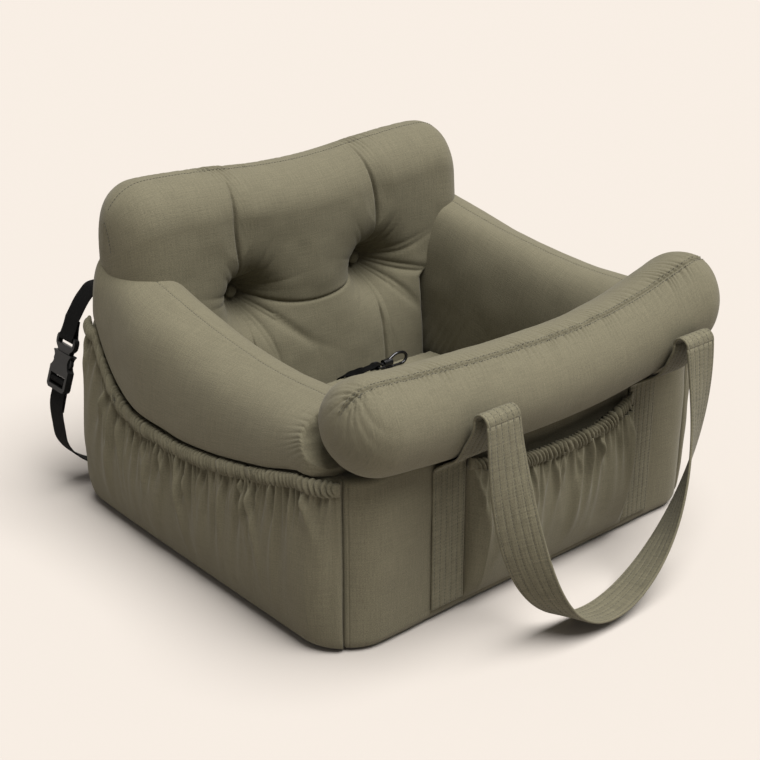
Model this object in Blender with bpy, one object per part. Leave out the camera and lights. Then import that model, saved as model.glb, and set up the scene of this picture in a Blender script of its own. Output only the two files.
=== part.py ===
"""Dog car seat: a soft booster box with a tufted backrest, two arm bolsters and a front roll.

The box stands on z = 0 with its front towards -Y, its backrest towards +Y and its left side
towards -X. All sizes are in metres. The cover panels and their foam boards run round a
rounded rectangle in plan and meet at the middle of each corner. Cushions are crowned closed
forms. Webbing is a flat ribbon carried along a smooth curve. Two carrying handles hinge at
their folds, the seat strap has a side-release buckle, and a tether has a swivel bolt snap.
"""

from math import cos, pi, radians, sin

import bmesh
import bpy
import numpy as np
from mathutils import Matrix, Vector

# Overall box
WIDTH = 0.550
DEPTH = 0.500
CORNER_RADIUS = 0.055
CLEARANCE = 0.0003
OVERRUN = 0.010

# Padded bottom, cover panels and foam boards
BOTTOM_THICKNESS = 0.014
BOTTOM_EDGE_RADIUS = 0.012
COVER_THICKNESS = 0.003
FOAM_BOARD = 0.022
BASE_FOAM_HEIGHT = 0.071
RIM_MIDDLE = 0.150
RIM_FRONT = 0.195
RIM_BACK = 0.225
RIM_LOW_PLACE = 0.030
RIM_FRONT_POWER = 1.6
RIM_BACK_POWER = 4.5
SIDE_STATIONS = 18
CORNER_STEPS = 4

# Arm bolsters
ARM_WIDTH = 0.103
ARM_BULGE = 0.005
ARM_CREST_LOW = 0.254
ARM_CREST_BACK = 0.300
ARM_CREST_FRONT = 0.256
ARM_RIGHT_LIFT = 0.012
ARM_LOW_PLACE = -0.100
ARM_END_ROUND = 0.022
ARM_BACK_DRAW = 0.018
ARM_BACK_TAPER = 0.070
ARM_TUCK_GAP = 0.0012
ARM_FRONT_GAP = 0.0040
ARM_ARC_STEPS = 12
ARM_ROUNDNESS = 2.3
ARM_BACK_ROUNDNESS = 3.2

# Front roll
ROLL_RADIUS = 0.0506
ROLL_RIGHT_SWELL = 0.005
ROLL_MIDDLE_HEIGHT = 0.235
ROLL_LEFT_RISE = 0.020
ROLL_RIGHT_RISE = 0.042
ROLL_LEFT_OVERHANG = 0.004
ROLL_RIGHT_INSET = 0.016
ROLL_BACK_INSET = 0.056
ROLL_END_LENGTH = 0.048
ROLL_STATIONS = 17
ROLL_SIDES = 16

# Backrest cushion
BACKREST_HALF_WIDTH = 0.256
BACKREST_SHOULDER = 0.392
BACKREST_DIP = 0.012
BACKREST_CORNER = 0.050
BACKREST_SEAM_Y = 0.186
BACKREST_BASE_SWELL = 0.076
BACKREST_TOP_SWELL = 0.050
BACKREST_EDGE_ROUND = 0.050
BACKREST_SIDE_ROUND = 0.020
BACKREST_FOOT_ROUND = 0.016
BACKREST_OVERHANG = 0.010
EAR_RISE = 0.006
EAR_DROOP = 0.006
EAR_GAP = 0.004
EAR_SAG_HEIGHT = 0.060
TUFT_SPACING = 0.192
TUFT_HEIGHT = 0.235
TUFT_DEPTH = 0.056
TUFT_SEAT_HALF = 0.0115
TUFT_REACH = 0.024
CHANNEL_DEPTH = 0.016
CHANNEL_HALF_WIDTH = 0.011
CHANNEL_BOW = 0.016
CHANNEL_SAG = 0.018
BUTTON_RADIUS = 0.0080
BUTTON_THICKNESS = 0.0060

# Seat cushion
SEAT_CUSHION_HEIGHT = 0.120
SEAT_EDGE_ROUND = 0.012
SEAT_CROWN = 0.004

# Pockets
POCKET_CLOTH = 0.0025
HEM_RADIUS = 0.005
HEM_DROP = 0.007
HEM_RIPPLE = 0.0007
HEM_RIPPLES = 22
HEM_SIDES = 6
SIDE_HEM_OFFSET = 0.0125
SIDE_POCKET_BULGE = 0.010
FRONT_HEM_MIDDLE = 0.157
FRONT_HEM_END = 0.174
FRONT_HEM_OFFSET = 0.019
FRONT_HEM_END_OFFSET = 0.0075
FRONT_POCKET_BULGE = 0.010
FOLD_DEPTH = 0.0016
POCKET_ROWS = 5
SIDE_FOLDS = 13
FRONT_FOLDS = 9

# Carrying handles
HANDLE_WEBBING_WIDTH = 0.045
HANDLE_WEBBING_THICKNESS = 0.003
FRONT_HANDLE_LEFT = -0.134
FRONT_HANDLE_RIGHT = 0.162
HANDLE_FOLD_RADIUS = 0.009
FRONT_FOLD_REACH = 0.066
FRONT_FOLD_HEIGHT = 0.252
FRONT_HANDLE_DROP = 0.245
FRONT_HANDLE_TILT = radians(8.5)
FRONT_HANDLE_SKEW = 0.030
BACK_HANDLE_SPAN = 0.300
BACK_FOLD_HEIGHT = 0.222
BACK_HANDLE_DROP = 0.206
BACK_HANDLE_TILT = radians(4.0)
STRIP_FOOT_GAP = 0.002

# Seat strap and its buckle
STRAP_WIDTH = 0.030
STRAP_THICKNESS = 0.0015
STRAP_PLANE_GAP = 0.0025
ANCHOR_INSET = 0.060
ANCHOR_DROP = 0.018
ANCHOR_LENGTH = 0.028
ANCHOR_PATCH_THICKNESS = 0.0015
BUCKLE_PLACE = (-0.273, 0.1745)
BUCKLE_TILT = radians(18.7)
BUCKLE_WIDTH = 0.041
BUCKLE_THICKNESS = 0.0088
BUCKLE_WALL = 0.0018
PLUG_LENGTH = 0.0205
PLUG_THICKNESS = 0.0068
PLUG_BAR = 0.0050
PLUG_BAR_THICKNESS = 0.0040
PLUG_SLOT = 0.0065
SLOT_SIDE_CLEARANCE = 0.0010
SOCKET_LENGTH = 0.047
SOCKET_CAVITY_LENGTH = 0.0262
SOCKET_WEB = 0.0020
LADDER_BAR = 0.0040
LADDER_SLOT = 0.0048
PRONG_LENGTH = 0.0235
PRONG_TRAVEL = radians(8.0)
GUIDE_HALF_WIDTH = 0.0030
SCALLOP_RADIUS = 0.0115
SCALLOP_REACH = 0.0060
BUCKLE_EDGE = 0.0009
STRAP_TAIL = 0.024

# Tether and its swivel bolt snap
TETHER_WIDTH = 0.012
TETHER_THICKNESS = 0.0012
SNAP_PLACE_X = 0.062
SNAP_SWING_RADIUS = 0.0107
SNAP_PLACE_Y = 0.077
BARREL_RADIUS = 0.0050
BARREL_LENGTH = 0.013
SNAP_ROD = 0.0020
HOOK_REACH = 0.0385
HOOK_RISE = 0.0080
HOOK_TIP = 0.0275
BOLT_OFFSET = 0.0072
BOLT_RADIUS = 0.0016
BOLT_HOUSING_RADIUS = 0.0034
BOLT_TRAVEL = 0.0055
BOLT_KNOB_RADIUS = 0.0013
BOLT_KNOB_REACH = 0.0060
BOLT_KNOB_PLACE = 0.0100
BOLT_START = 0.0065
BOLT_HOUSING_START = -0.0008
EYE_ROD = 0.0016
EYE_LENGTH = 0.009
EYE_CORNER = 0.0026
EYE_STEM = 0.0019
EYE_GAP = 0.0035

# Sizes that follow from the ones above
HALF_WIDTH = WIDTH / 2
HALF_DEPTH = DEPTH / 2
WALL_FOOT = BOTTOM_THICKNESS + CLEARANCE
BOARD_INSET = COVER_THICKNESS + CLEARANCE
INNER_INSET = BOARD_INSET + FOAM_BOARD + CLEARANCE
BASE_FOAM_TOP = WALL_FOOT + BASE_FOAM_HEIGHT
CUSHION_FOOT = BASE_FOAM_TOP + CLEARANCE
ARM_INNER_X = HALF_WIDTH - ARM_WIDTH
STRAIGHT_X = HALF_WIDTH - CORNER_RADIUS
STRAIGHT_Y = HALF_DEPTH - CORNER_RADIUS
ROLL_BACK_Y = -HALF_DEPTH + ROLL_BACK_INSET
ARM_BACK_Y = HALF_DEPTH - INNER_INSET
ARM_FRONT_Y = -ARM_BACK_Y + ARM_FRONT_GAP
BACKREST_BACK_SWELL = HALF_DEPTH - INNER_INSET - BACKREST_SEAM_Y
TUFT_X = TUFT_SPACING / 2
EAR_FOOT = ARM_CREST_BACK + EAR_GAP
STRAP_Y = HALF_DEPTH + STRAP_PLANE_GAP + STRAP_WIDTH / 2

OLIVE = (0.172, 0.158, 0.110)
OLIVE_DEEP = (0.130, 0.119, 0.082)
BLACK_WEB = (0.010, 0.010, 0.010)
BLACK_PLASTIC = (0.014, 0.014, 0.014)
BLACK_METAL = (0.020, 0.020, 0.021)
FOAM_GREY = (0.560, 0.550, 0.520)


def clear_scene():
    for found in list(bpy.data.objects):
        bpy.data.objects.remove(found, do_unlink=True)


def make_material(name, colour, roughness, metallic=0.0):
    made = bpy.data.materials.new(name)
    made.use_nodes = True
    shader = made.node_tree.nodes["Principled BSDF"]
    shader.inputs["Base Color"].default_value = (*colour, 1.0)
    shader.inputs["Roughness"].default_value = roughness
    shader.inputs["Metallic"].default_value = metallic
    made.diffuse_color = (*colour, 1.0)
    return made


def add_mesh(name, points, faces, finish, origin=(0.0, 0.0, 0.0)):
    """One object from world points, with its own origin placed where it turns."""
    mesh = bpy.data.meshes.new(name)
    mesh.from_pydata((np.asarray(points) - np.asarray(origin)).tolist(), [], faces)
    work = bmesh.new()
    work.from_mesh(mesh)
    bmesh.ops.recalc_face_normals(work, faces=work.faces)
    work.to_mesh(mesh)
    work.free()
    return add_object(name, mesh, finish, origin)


def add_object(name, mesh, finish, origin=(0.0, 0.0, 0.0)):
    made = bpy.data.objects.new(name, mesh)
    made.location = origin
    bpy.context.scene.collection.objects.link(made)
    mesh.materials.clear()
    mesh.materials.append(finish)
    mesh.shade_smooth()
    mesh.set_sharp_from_angle(angle=radians(35))
    return made


def add_bevel(target, width, segments=2):
    bevel = target.modifiers.new("edge", "BEVEL")
    bevel.width = width
    bevel.segments = segments
    bevel.limit_method = "ANGLE"
    bevel.angle_limit = radians(50)
    return bevel


def cut(target, cutter, operation="DIFFERENCE"):
    """Cuts or joins with a helper that stays hidden."""
    cutter.hide_render = True
    cutter.display_type = "WIRE"
    change = target.modifiers.new(operation.lower(), "BOOLEAN")
    change.operation = operation
    change.solver = "EXACT"
    change.object = cutter
    return change


def loft_faces(rings, points):
    """Quads between neighbouring rings and one face over each end."""
    faces = [list(range(points - 1, -1, -1))]
    for ring in range(rings - 1):
        for at in range(points):
            here, there = ring * points, (ring + 1) * points
            after = (at + 1) % points
            faces.append([here + at, here + after, there + after, there + at])
    faces.append([(rings - 1) * points + at for at in range(points)])
    return faces


def add_loft(name, rings, finish, origin=(0.0, 0.0, 0.0)):
    rings = np.asarray(rings, float)
    count, points = rings.shape[:2]
    return add_mesh(name, rings.reshape(-1, 3), loft_faces(count, points), finish, origin)


def add_prism(name, outline, low, high, finish):
    """A flat outline in the first two axes, drawn out along the third."""
    outline = np.asarray(outline, float)
    ends = [np.column_stack([outline, np.full(len(outline), at)]) for at in (low, high)]
    return add_loft(name, ends, finish)


def add_block(name, low, high, finish):
    (x0, y0, z0), (x1, y1, z1) = low, high
    return add_prism(name, [(x0, y0), (x1, y0), (x1, y1), (x0, y1)], z0, z1, finish)


def add_rod(name, radius, start, end, finish, sides=16):
    """A round bar between two points."""
    start, end = Vector(start), Vector(end)
    turn = (end - start).to_track_quat("Z", "Y").to_matrix().to_4x4()
    mesh = bpy.data.meshes.new(name)
    work = bmesh.new()
    bmesh.ops.create_cone(
        work, cap_ends=True, segments=sides, radius1=radius, radius2=radius,
        depth=(end - start).length,
        matrix=Matrix.Translation((start + end) / 2) @ turn,
    )
    work.to_mesh(mesh)
    work.free()
    return add_object(name, mesh, finish)


def smooth_route(points, count):
    """A smooth curve through the given points, read again at equal steps of length."""
    points = np.asarray(points, float)
    steps = np.diff(points, axis=0)
    spans = np.linalg.norm(steps[:, :3], axis=1)[:, None]
    slopes = steps / spans
    inner = (slopes[:-1] * spans[1:] + slopes[1:] * spans[:-1]) / (spans[:-1] + spans[1:])
    tangents = np.vstack([slopes[:1], inner, slopes[-1:]])
    share = np.linspace(0, 1, 24, endpoint=False)[:, None]
    fine = []
    for at, span in enumerate(spans):
        lead, trail = tangents[at] * span, tangents[at + 1] * span
        fine.append(
            points[at] * (1 - share) ** 2 * (1 + 2 * share) + points[at + 1] * share**2 * (3 - 2 * share)
            + lead * share * (1 - share) ** 2 - trail * share**2 * (1 - share)
        )
    fine = np.vstack([*fine, points[-1:]])
    run = np.concatenate([[0], np.cumsum(np.linalg.norm(np.diff(fine[:, :3], axis=0), axis=1))])
    at = np.linspace(0, run[-1], count)
    return np.column_stack([np.interp(at, run, fine[:, axis]) for axis in range(points.shape[1])])


def ribbon_rings(path, across, width, thickness, along=None):
    """A rectangle carried along a path, its width turned along the given directions."""
    path, across = np.asarray(path, float), np.asarray(across, float)
    if along is None:
        along = np.gradient(path, axis=0)
        along /= np.linalg.norm(along, axis=1)[:, None]
    across = across - (across * along).sum(1)[:, None] * along
    across /= np.linalg.norm(across, axis=1)[:, None]
    face = np.cross(along, across)
    corners = ((-1, -1), (1, -1), (1, 1), (-1, 1))
    return np.stack(
        [path + a * across * width / 2 + b * face * thickness / 2 for a, b in corners], axis=1
    )


def rounding(distance, radius):
    """0 at an edge and 1 from the radius inwards, along a quarter circle."""
    inwards = np.clip(np.asarray(distance) / radius, 0, 1)
    return np.sqrt(1 - (1 - inwards) ** 2)


def rim_height(y):
    """Top edge of the side walls: low at the middle, rising to the front and the back."""
    y = np.clip(y, -STRAIGHT_Y, STRAIGHT_Y)
    front = np.clip((RIM_LOW_PLACE - y) / (RIM_LOW_PLACE + STRAIGHT_Y), 0, 1)
    back = np.clip((y - RIM_LOW_PLACE) / (STRAIGHT_Y - RIM_LOW_PLACE), 0, 1)
    return (
        RIM_MIDDLE + (RIM_FRONT - RIM_MIDDLE) * front**RIM_FRONT_POWER
        + (RIM_BACK - RIM_MIDDLE) * back**RIM_BACK_POWER
    )


def arm_crest(y, side):
    """Highest line of an arm bolster, of which the right one is stuffed fuller."""
    front = np.clip((ARM_LOW_PLACE - y) / (ARM_LOW_PLACE - ARM_FRONT_Y), 0, 1)
    back = np.clip((y - ARM_LOW_PLACE) / (ARM_BACK_Y - ARM_LOW_PLACE), 0, 1)
    lift = ARM_RIGHT_LIFT * (np.asarray(side) > 0)
    return (
        ARM_CREST_LOW + lift + (ARM_CREST_FRONT - ARM_CREST_LOW) * front**2
        + (ARM_CREST_BACK - ARM_CREST_LOW - lift) * np.minimum(1.15 * back**1.6, 1)
    )


def side_stations():
    return np.linspace(-STRAIGHT_Y, STRAIGHT_Y, SIDE_STATIONS)


def roll_ends():
    return -HALF_WIDTH - ROLL_LEFT_OVERHANG, HALF_WIDTH - ROLL_RIGHT_INSET


def roll_radius(x):
    right = np.clip(np.asarray(x) / STRAIGHT_X, 0, 1)
    return ROLL_RADIUS + ROLL_RIGHT_SWELL * right**2


def roll_height(x):
    """Height of the roll's middle line, which climbs to both ends like a smile."""
    left_end, right_end = roll_ends()
    left = np.clip(np.asarray(x) / left_end, 0, None)
    right = np.clip(np.asarray(x) / right_end, 0, None)
    return ROLL_MIDDLE_HEIGHT + ROLL_LEFT_RISE * left**2 + ROLL_RIGHT_RISE * right**2


def roll_bottom(x):
    return roll_height(x) - roll_radius(x)


def roll_middle_stations():
    return np.linspace(-STRAIGHT_X, STRAIGHT_X, ROLL_STATIONS)


def corner_arc(start_angle, inset, centre):
    """Half of a plan corner: 45 degrees of arc, left short of the joint by a hair."""
    radius = CORNER_RADIUS - inset
    angles = np.linspace(start_angle, start_angle + pi / 4, CORNER_STEPS + 1)
    normals = np.column_stack([np.cos(angles), np.sin(angles)])
    return np.asarray(centre) + radius * normals, normals


def wall_path(side, inset, stations):
    """Plan points and outward normals of one wall, from joint to joint, counter-clockwise."""
    x, y = STRAIGHT_X, STRAIGHT_Y
    corners = {
        "front": ((-x, -y), (x, -y), 5 * pi / 4, 3 * pi / 2, (0, -1)),
        "right": ((x, -y), (x, y), 7 * pi / 4, 0, (1, 0)),
        "back": ((x, y), (-x, y), pi / 4, pi / 2, (0, 1)),
        "left": ((-x, y), (-x, -y), 3 * pi / 4, pi, (-1, 0)),
    }
    first, last, start_angle, end_angle, normal = corners[side]
    distance = CORNER_RADIUS - inset
    first_arc, first_normals = corner_arc(start_angle, inset, first)
    last_arc, last_normals = corner_arc(end_angle, inset, last)
    shares = (np.asarray(stations) - stations[0]) / (stations[-1] - stations[0])
    if side in ("back", "left"):
        shares = 1 - shares[::-1]
    first, last, normal = np.array(first), np.array(last), np.array(normal, float)
    straight = first + shares[1:-1, None] * (last - first) + distance * normal
    path = np.vstack([first_arc, straight, last_arc])
    normals = np.vstack([first_normals, np.tile(normal, (len(straight), 1)), last_normals])
    half_gap = CLEARANCE / 2
    for end, step in ((0, 1), (-1, -2)):
        inwards = path[step] - path[end]
        path[end] += inwards / np.linalg.norm(inwards) * half_gap
    return path, normals


def wall_tops(side, path):
    """Top edge of one wall at each of its plan points."""
    if side in ("left", "right"):
        return rim_height(path[:, 1])
    if side == "back":
        return np.full(len(path), RIM_BACK)
    tops = roll_bottom(path[:, 0]) - CLEARANCE
    return np.where(np.abs(path[:, 0]) > STRAIGHT_X + CLEARANCE, RIM_FRONT, tops)


def add_wall(name, side, inset, thickness, finish):
    stations = roll_middle_stations() if side in ("front", "back") else side_stations()
    outer, normals = wall_path(side, inset, stations)
    inner = outer - thickness * normals
    tops = wall_tops(side, outer)
    foot = np.full(len(outer), WALL_FOOT)
    rings = np.stack([
        np.column_stack([outer, foot]), np.column_stack([outer, tops]),
        np.column_stack([inner, tops]), np.column_stack([inner, foot]),
    ], axis=1)
    return add_loft(name, rings, finish)


def rounded_plan(inset):
    """The whole plan outline at an inset, counter-clockwise."""
    radius = CORNER_RADIUS - inset
    steps = 2 * CORNER_STEPS
    outline = []
    for corner, (sx, sy) in enumerate(((1, 1), (-1, 1), (-1, -1), (1, -1))):
        for step in range(steps + 1):
            angle = (corner + step / steps) * pi / 2
            outline.append((
                sx * STRAIGHT_X + radius * cos(angle), sy * STRAIGHT_Y + radius * sin(angle),
            ))
    return outline


def add_bottom_and_walls(cover, foam, grip):
    """The padded bottom, whose lower edge is round, the cover panels and the boards in them."""
    rings = []
    for step in range(5):
        angle = step / 4 * pi / 2
        inset = BOTTOM_EDGE_RADIUS * (1 - sin(angle))
        height = BOTTOM_EDGE_RADIUS * (1 - cos(angle))
        rings.append([(x, y, height) for x, y in rounded_plan(inset)])
    rings.append([(x, y, BOTTOM_THICKNESS) for x, y in rounded_plan(0)])
    add_loft("bottom_panel", rings, grip)
    add_prism("base_foam", rounded_plan(INNER_INSET), WALL_FOOT, BASE_FOAM_TOP, foam)
    for side in ("front", "right", "back", "left"):
        add_wall(side + "_panel", side, 0.0, COVER_THICKNESS, cover)
        add_wall(side + "_foam_board", side, BOARD_INSET, FOAM_BOARD, foam)


def arm_stations():
    """Stations shared with the side walls, so that arm and wall meet all along."""
    inner = [y for y in side_stations() if ROLL_BACK_Y < y < ARM_BACK_Y]
    turns = np.array([radians(67.5), radians(45.0), radians(22.5), 0.0])
    tucked = [y for y in ROLL_BACK_Y - ROLL_RADIUS * (1 - np.cos(turns)) if y > ARM_FRONT_Y]
    back = np.linspace(inner[-1], ARM_BACK_Y, 4)[1:]
    return np.concatenate([[ARM_FRONT_Y], tucked, inner, back])


def plan_reach(y, inset):
    """Half width of the plan outline at one depth, round at the corners."""
    past = max(abs(y) - STRAIGHT_Y, 0.0)
    radius = CORNER_RADIUS - inset
    return STRAIGHT_X + float(np.sqrt(max(radius**2 - past**2, 0.0)))


def under_roll(x, y):
    """Height of the space under the front roll, without limit where it isn't overhead."""
    radius = roll_radius(x) + ARM_TUCK_GAP
    past = radius**2 - (y - ROLL_BACK_Y + roll_radius(x)) ** 2
    return np.where(past > 0, roll_height(x) - np.sqrt(np.maximum(past, 0)), np.inf)


def add_arm(name, sign, cover):
    """An arm bolster: a full roll above the wall and a pad inside it down to the base foam. Its
    front end is tucked under the front roll."""
    arc = np.linspace(0, pi, ARM_ARC_STEPS + 1)
    rings = []
    for y in arm_stations():
        draw = 0.90 + 0.10 * float(rounding(ARM_BACK_Y - y, ARM_END_ROUND))
        back_share = min(max(y / ARM_BACK_Y, 0.0), 1.0)
        power = 2 / (ARM_ROUNDNESS + (ARM_BACK_ROUNDNESS - ARM_ROUNDNESS) * back_share)
        floor = float(rim_height(y)) + CLEARANCE
        rise = (float(arm_crest(y, sign)) - floor) * draw
        taper = ARM_BACK_DRAW * (1 - float(rounding(ARM_BACK_Y - y, ARM_BACK_TAPER)))
        outer_x, board_x = plan_reach(y, 0.0) - taper, plan_reach(y, INNER_INSET)
        centre = (outer_x + ARM_INNER_X) / 2
        reach = (outer_x - ARM_INNER_X) / 2
        across = np.sign(np.cos(arc)) * np.abs(np.cos(arc)) ** power
        up = np.abs(np.sin(arc)) ** power
        bulge = ARM_BULGE * np.sin(np.clip(arc / (pi / 3), 0, 1) * pi)
        x = centre + reach * across + bulge
        z = np.minimum(floor + rise * up, under_roll(sign * x, y))
        x = np.concatenate([x, [ARM_INNER_X, board_x, board_x]])
        z = np.concatenate([z, [CUSHION_FOOT, CUSHION_FOOT, floor]])
        rings.append(np.column_stack([sign * x, np.full(len(x), y), z]))
    return add_loft(name, rings, cover)


def add_front_roll(cover):
    """A banana-shaped roll: round rings along x that climb to both ends, with domed tips."""
    left_end, right_end = roll_ends()
    middle = roll_middle_stations()
    tip = np.sin(np.linspace(0, pi / 2, 5))
    left = left_end + (middle[0] - left_end) * (1 - tip[1:][::-1])
    right = right_end - (right_end - middle[-1]) * (1 - tip[1:])
    stations = np.concatenate([[left_end], left[:-1], middle, right[1:-1], [right_end]])
    stations = np.unique(np.round(stations, 7))
    angles = np.arange(ROLL_SIDES) / ROLL_SIDES * 2 * pi - pi / 2
    rings = []
    for x in stations:
        distance = min(x - left_end, right_end - x)
        radius = float(roll_radius(x)) * (0.12 + 0.88 * float(rounding(distance, ROLL_END_LENGTH)))
        y = ROLL_BACK_Y - float(roll_radius(x))
        rings.append(np.column_stack([
            np.full(ROLL_SIDES, x), y + radius * np.cos(angles),
            float(roll_height(x)) + radius * np.sin(angles),
        ]))
    return add_loft("front_roll", rings, cover)


def grid_faces(rows, columns):
    """Quads over a front grid and a back grid that share their outer edge."""
    front = np.arange(rows * columns).reshape(rows, columns)
    back = front.copy()
    inner = (rows - 2) * (columns - 2)
    back[1:-1, 1:-1] = np.arange(inner).reshape(rows - 2, columns - 2) + rows * columns
    faces = []
    for sheet, order in ((front, 1), (back, -1)):
        for r in range(rows - 1):
            for c in range(columns - 1):
                quad = [sheet[r, c], sheet[r, c + 1], sheet[r + 1, c + 1], sheet[r + 1, c]]
                faces.append([int(at) for at in quad[::order]])
    return faces


def add_pillow(name, front, back, finish):
    """A closed cushion from two grids of points with the same outer edge."""
    rows, columns = front.shape[:2]
    points = np.vstack([front.reshape(-1, 3), back[1:-1, 1:-1].reshape(-1, 3)])
    return add_mesh(name, points, grid_faces(rows, columns), finish)


def backrest_top(x):
    """Upper outline: two shoulders, a low dip between them and round corners."""
    inwards = np.clip(np.abs(x) / (BACKREST_HALF_WIDTH - BACKREST_CORNER), 0, 1)
    dip = BACKREST_DIP * (1 + np.cos(pi * inwards)) / 2
    past = np.clip(np.abs(x) - (BACKREST_HALF_WIDTH - BACKREST_CORNER), 0, BACKREST_CORNER)
    drop = BACKREST_CORNER - np.sqrt(BACKREST_CORNER**2 - past**2)
    return BACKREST_SHOULDER - dip - drop


def ear_share(z):
    """0 between the arms and 1 above them, where the backrest has its full width."""
    return np.clip((z - EAR_FOOT) / EAR_RISE, 0, 1)


def backrest_half_width(z):
    """Narrow between the arms and wide above them, where the ears rest on the arms."""
    narrow = ARM_INNER_X - CLEARANCE
    return narrow + (BACKREST_HALF_WIDTH - narrow) * ear_share(z)


def ear_sag(x, y, z):
    """How far the ears hang down onto the arms, whose crests are lower in front of the seam."""
    near = np.clip(1 - np.abs(z - EAR_FOOT) / EAR_SAG_HEIGHT, 0, 1)
    outside = np.clip((np.abs(x) - TUFT_X) / (ARM_INNER_X - TUFT_X), 0, 1)
    return (ARM_CREST_BACK - arm_crest(y, x)) * near * outside**2


def spaced(*stops):
    """Grid lines: even steps between each pair of stops, given as place, count, place..."""
    lines = [stops[0]]
    for at in range(1, len(stops), 2):
        count, end = stops[at], stops[at + 1]
        lines += list(np.linspace(lines[-1], end, count + 1)[1:])
    return np.array(lines)


def tuft_sink(x, z):
    """How far the front is drawn in: funnels at the buttons and sewn channels between them."""
    sink = np.zeros_like(x)
    for side in (-1, 1):
        from_seat = np.maximum(np.maximum(np.abs(x - side * TUFT_X), np.abs(z - TUFT_HEIGHT))
                               - TUFT_SEAT_HALF, 0)
        funnel = TUFT_DEPTH / (1 + (from_seat / TUFT_REACH) ** 2) ** 1.3
        above = np.clip((z - TUFT_HEIGHT) / (BACKREST_SHOULDER - TUFT_HEIGHT), 0, 1)
        below = np.clip((TUFT_HEIGHT - z) / (TUFT_HEIGHT - CUSHION_FOOT), 0, 1)
        bow = side * (TUFT_X + CHANNEL_BOW * np.sin(pi * above) + CHANNEL_BOW / 2 * below)
        upright = CHANNEL_DEPTH * np.exp(-((x - bow) / CHANNEL_HALF_WIDTH) ** 2)
        sink = np.maximum(sink, np.maximum(funnel, upright))
    across = np.clip(np.abs(x) / TUFT_X, 0, 1)
    sag = TUFT_HEIGHT - CHANNEL_SAG * (1 - across**2)
    between = CHANNEL_DEPTH * np.exp(-((z - sag) / CHANNEL_HALF_WIDTH) ** 2) * (np.abs(x) <= TUFT_X)
    return np.maximum(sink, between)


def add_backrest(cover, trim):
    """A tufted cushion from two grids, and the covered button in each tuft."""
    seat = TUFT_SEAT_HALF
    lines_x = spaced(-BACKREST_HALF_WIDTH, 6, -TUFT_X - seat, 2, -TUFT_X + seat, 7,
                     TUFT_X - seat, 2, TUFT_X + seat, 6, BACKREST_HALF_WIDTH)
    lines_z = spaced(CUSHION_FOOT, 6, TUFT_HEIGHT - seat, 2, TUFT_HEIGHT + seat, 3, EAR_FOOT,
                     1, EAR_FOOT + EAR_RISE, 6, BACKREST_SHOULDER)
    wide, up = np.meshgrid(lines_x, lines_z)
    top = backrest_top(wide)
    ear_head = EAR_FOOT + EAR_RISE
    lift = np.clip((up - ear_head) / (BACKREST_SHOULDER - ear_head), 0, 1)
    z = up - (BACKREST_SHOULDER - top) * lift
    half = backrest_half_width(z)
    keep = TUFT_X + seat
    beyond = np.maximum(np.abs(wide) - keep, 0) / (BACKREST_HALF_WIDTH - keep)
    x = np.sign(wide) * (np.minimum(np.abs(wide), keep) + beyond * (half - keep))
    outside = np.clip((np.abs(x) - ARM_INNER_X) / (BACKREST_HALF_WIDTH - ARM_INNER_X), 0, 1)
    z = z - EAR_DROOP * outside**6 * (1 - lift)
    side_round = BACKREST_SIDE_ROUND + (BACKREST_EDGE_ROUND - BACKREST_SIDE_ROUND) * ear_share(z)
    fill = (
        rounding(half - np.abs(x), side_round) * rounding(top - z, BACKREST_EDGE_ROUND)
        * rounding(z - CUSHION_FOOT, BACKREST_FOOT_ROUND)
    )
    fill[0], fill[-1], fill[:, 0], fill[:, -1] = 0, 0, 0, 0
    height = (z - CUSHION_FOOT) / (BACKREST_SHOULDER - CUSHION_FOOT)
    swell = BACKREST_BASE_SWELL + (BACKREST_TOP_SWELL - BACKREST_BASE_SWELL) * height
    sink = np.minimum(tuft_sink(x, z), swell - CLEARANCE)
    front = np.stack([x, BACKREST_SEAM_Y - (swell - sink) * fill, z], axis=-1)
    over = np.clip((z - TUFT_HEIGHT) / seat, 0, 1)
    back_swell = BACKREST_BACK_SWELL + BACKREST_OVERHANG * over
    back = np.stack([x, BACKREST_SEAM_Y + back_swell * fill, z], axis=-1)
    for face in (front, back):
        face[..., 2] -= ear_sag(*np.moveaxis(face, -1, 0))
    add_pillow("backrest_cushion", front, back, cover)
    for name, side in (("left_tuft_button", -1), ("right_tuft_button", 1)):
        near = (np.abs(x - side * TUFT_X) < seat + CLEARANCE) & (
            np.abs(z - TUFT_HEIGHT) < seat + CLEARANCE)
        add_button(name, side * TUFT_X, float(front[..., 1][near].min()) - CLEARANCE, trim)


def add_button(name, x, back_y, trim):
    """A cloth-covered button: a shallow dome turned about its own axis."""
    profile_shares = [(0.80, 0.0), (1.0, 0.25), (0.92, 0.62), (0.60, 0.90), (0.25, 1.0)]
    angles = np.arange(20) / 20 * 2 * pi
    rings = [
        np.column_stack([
            x + BUTTON_RADIUS * radius_share * np.cos(angles),
            np.full(len(angles), back_y - BUTTON_THICKNESS * rise_share),
            TUFT_HEIGHT + BUTTON_RADIUS * radius_share * np.sin(angles),
        ])
        for radius_share, rise_share in profile_shares
    ]
    return add_loft(name, rings, trim)


def seat_cushion_ends():
    front = -HALF_DEPTH + INNER_INSET
    crease = TETHER_THICKNESS + 2 * CLEARANCE
    return front, BACKREST_SEAM_Y - BACKREST_BASE_SWELL - crease


def seat_top(x, y):
    """Top of the seat cushion away from its edges, highest at the middle."""
    front, back = seat_cushion_ends()
    middle = (front + back) / 2
    half = ARM_INNER_X - CLEARANCE
    return SEAT_CUSHION_HEIGHT - SEAT_CROWN * ((x / half) ** 2 + ((y - middle) / (back - middle)) ** 2)


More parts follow.
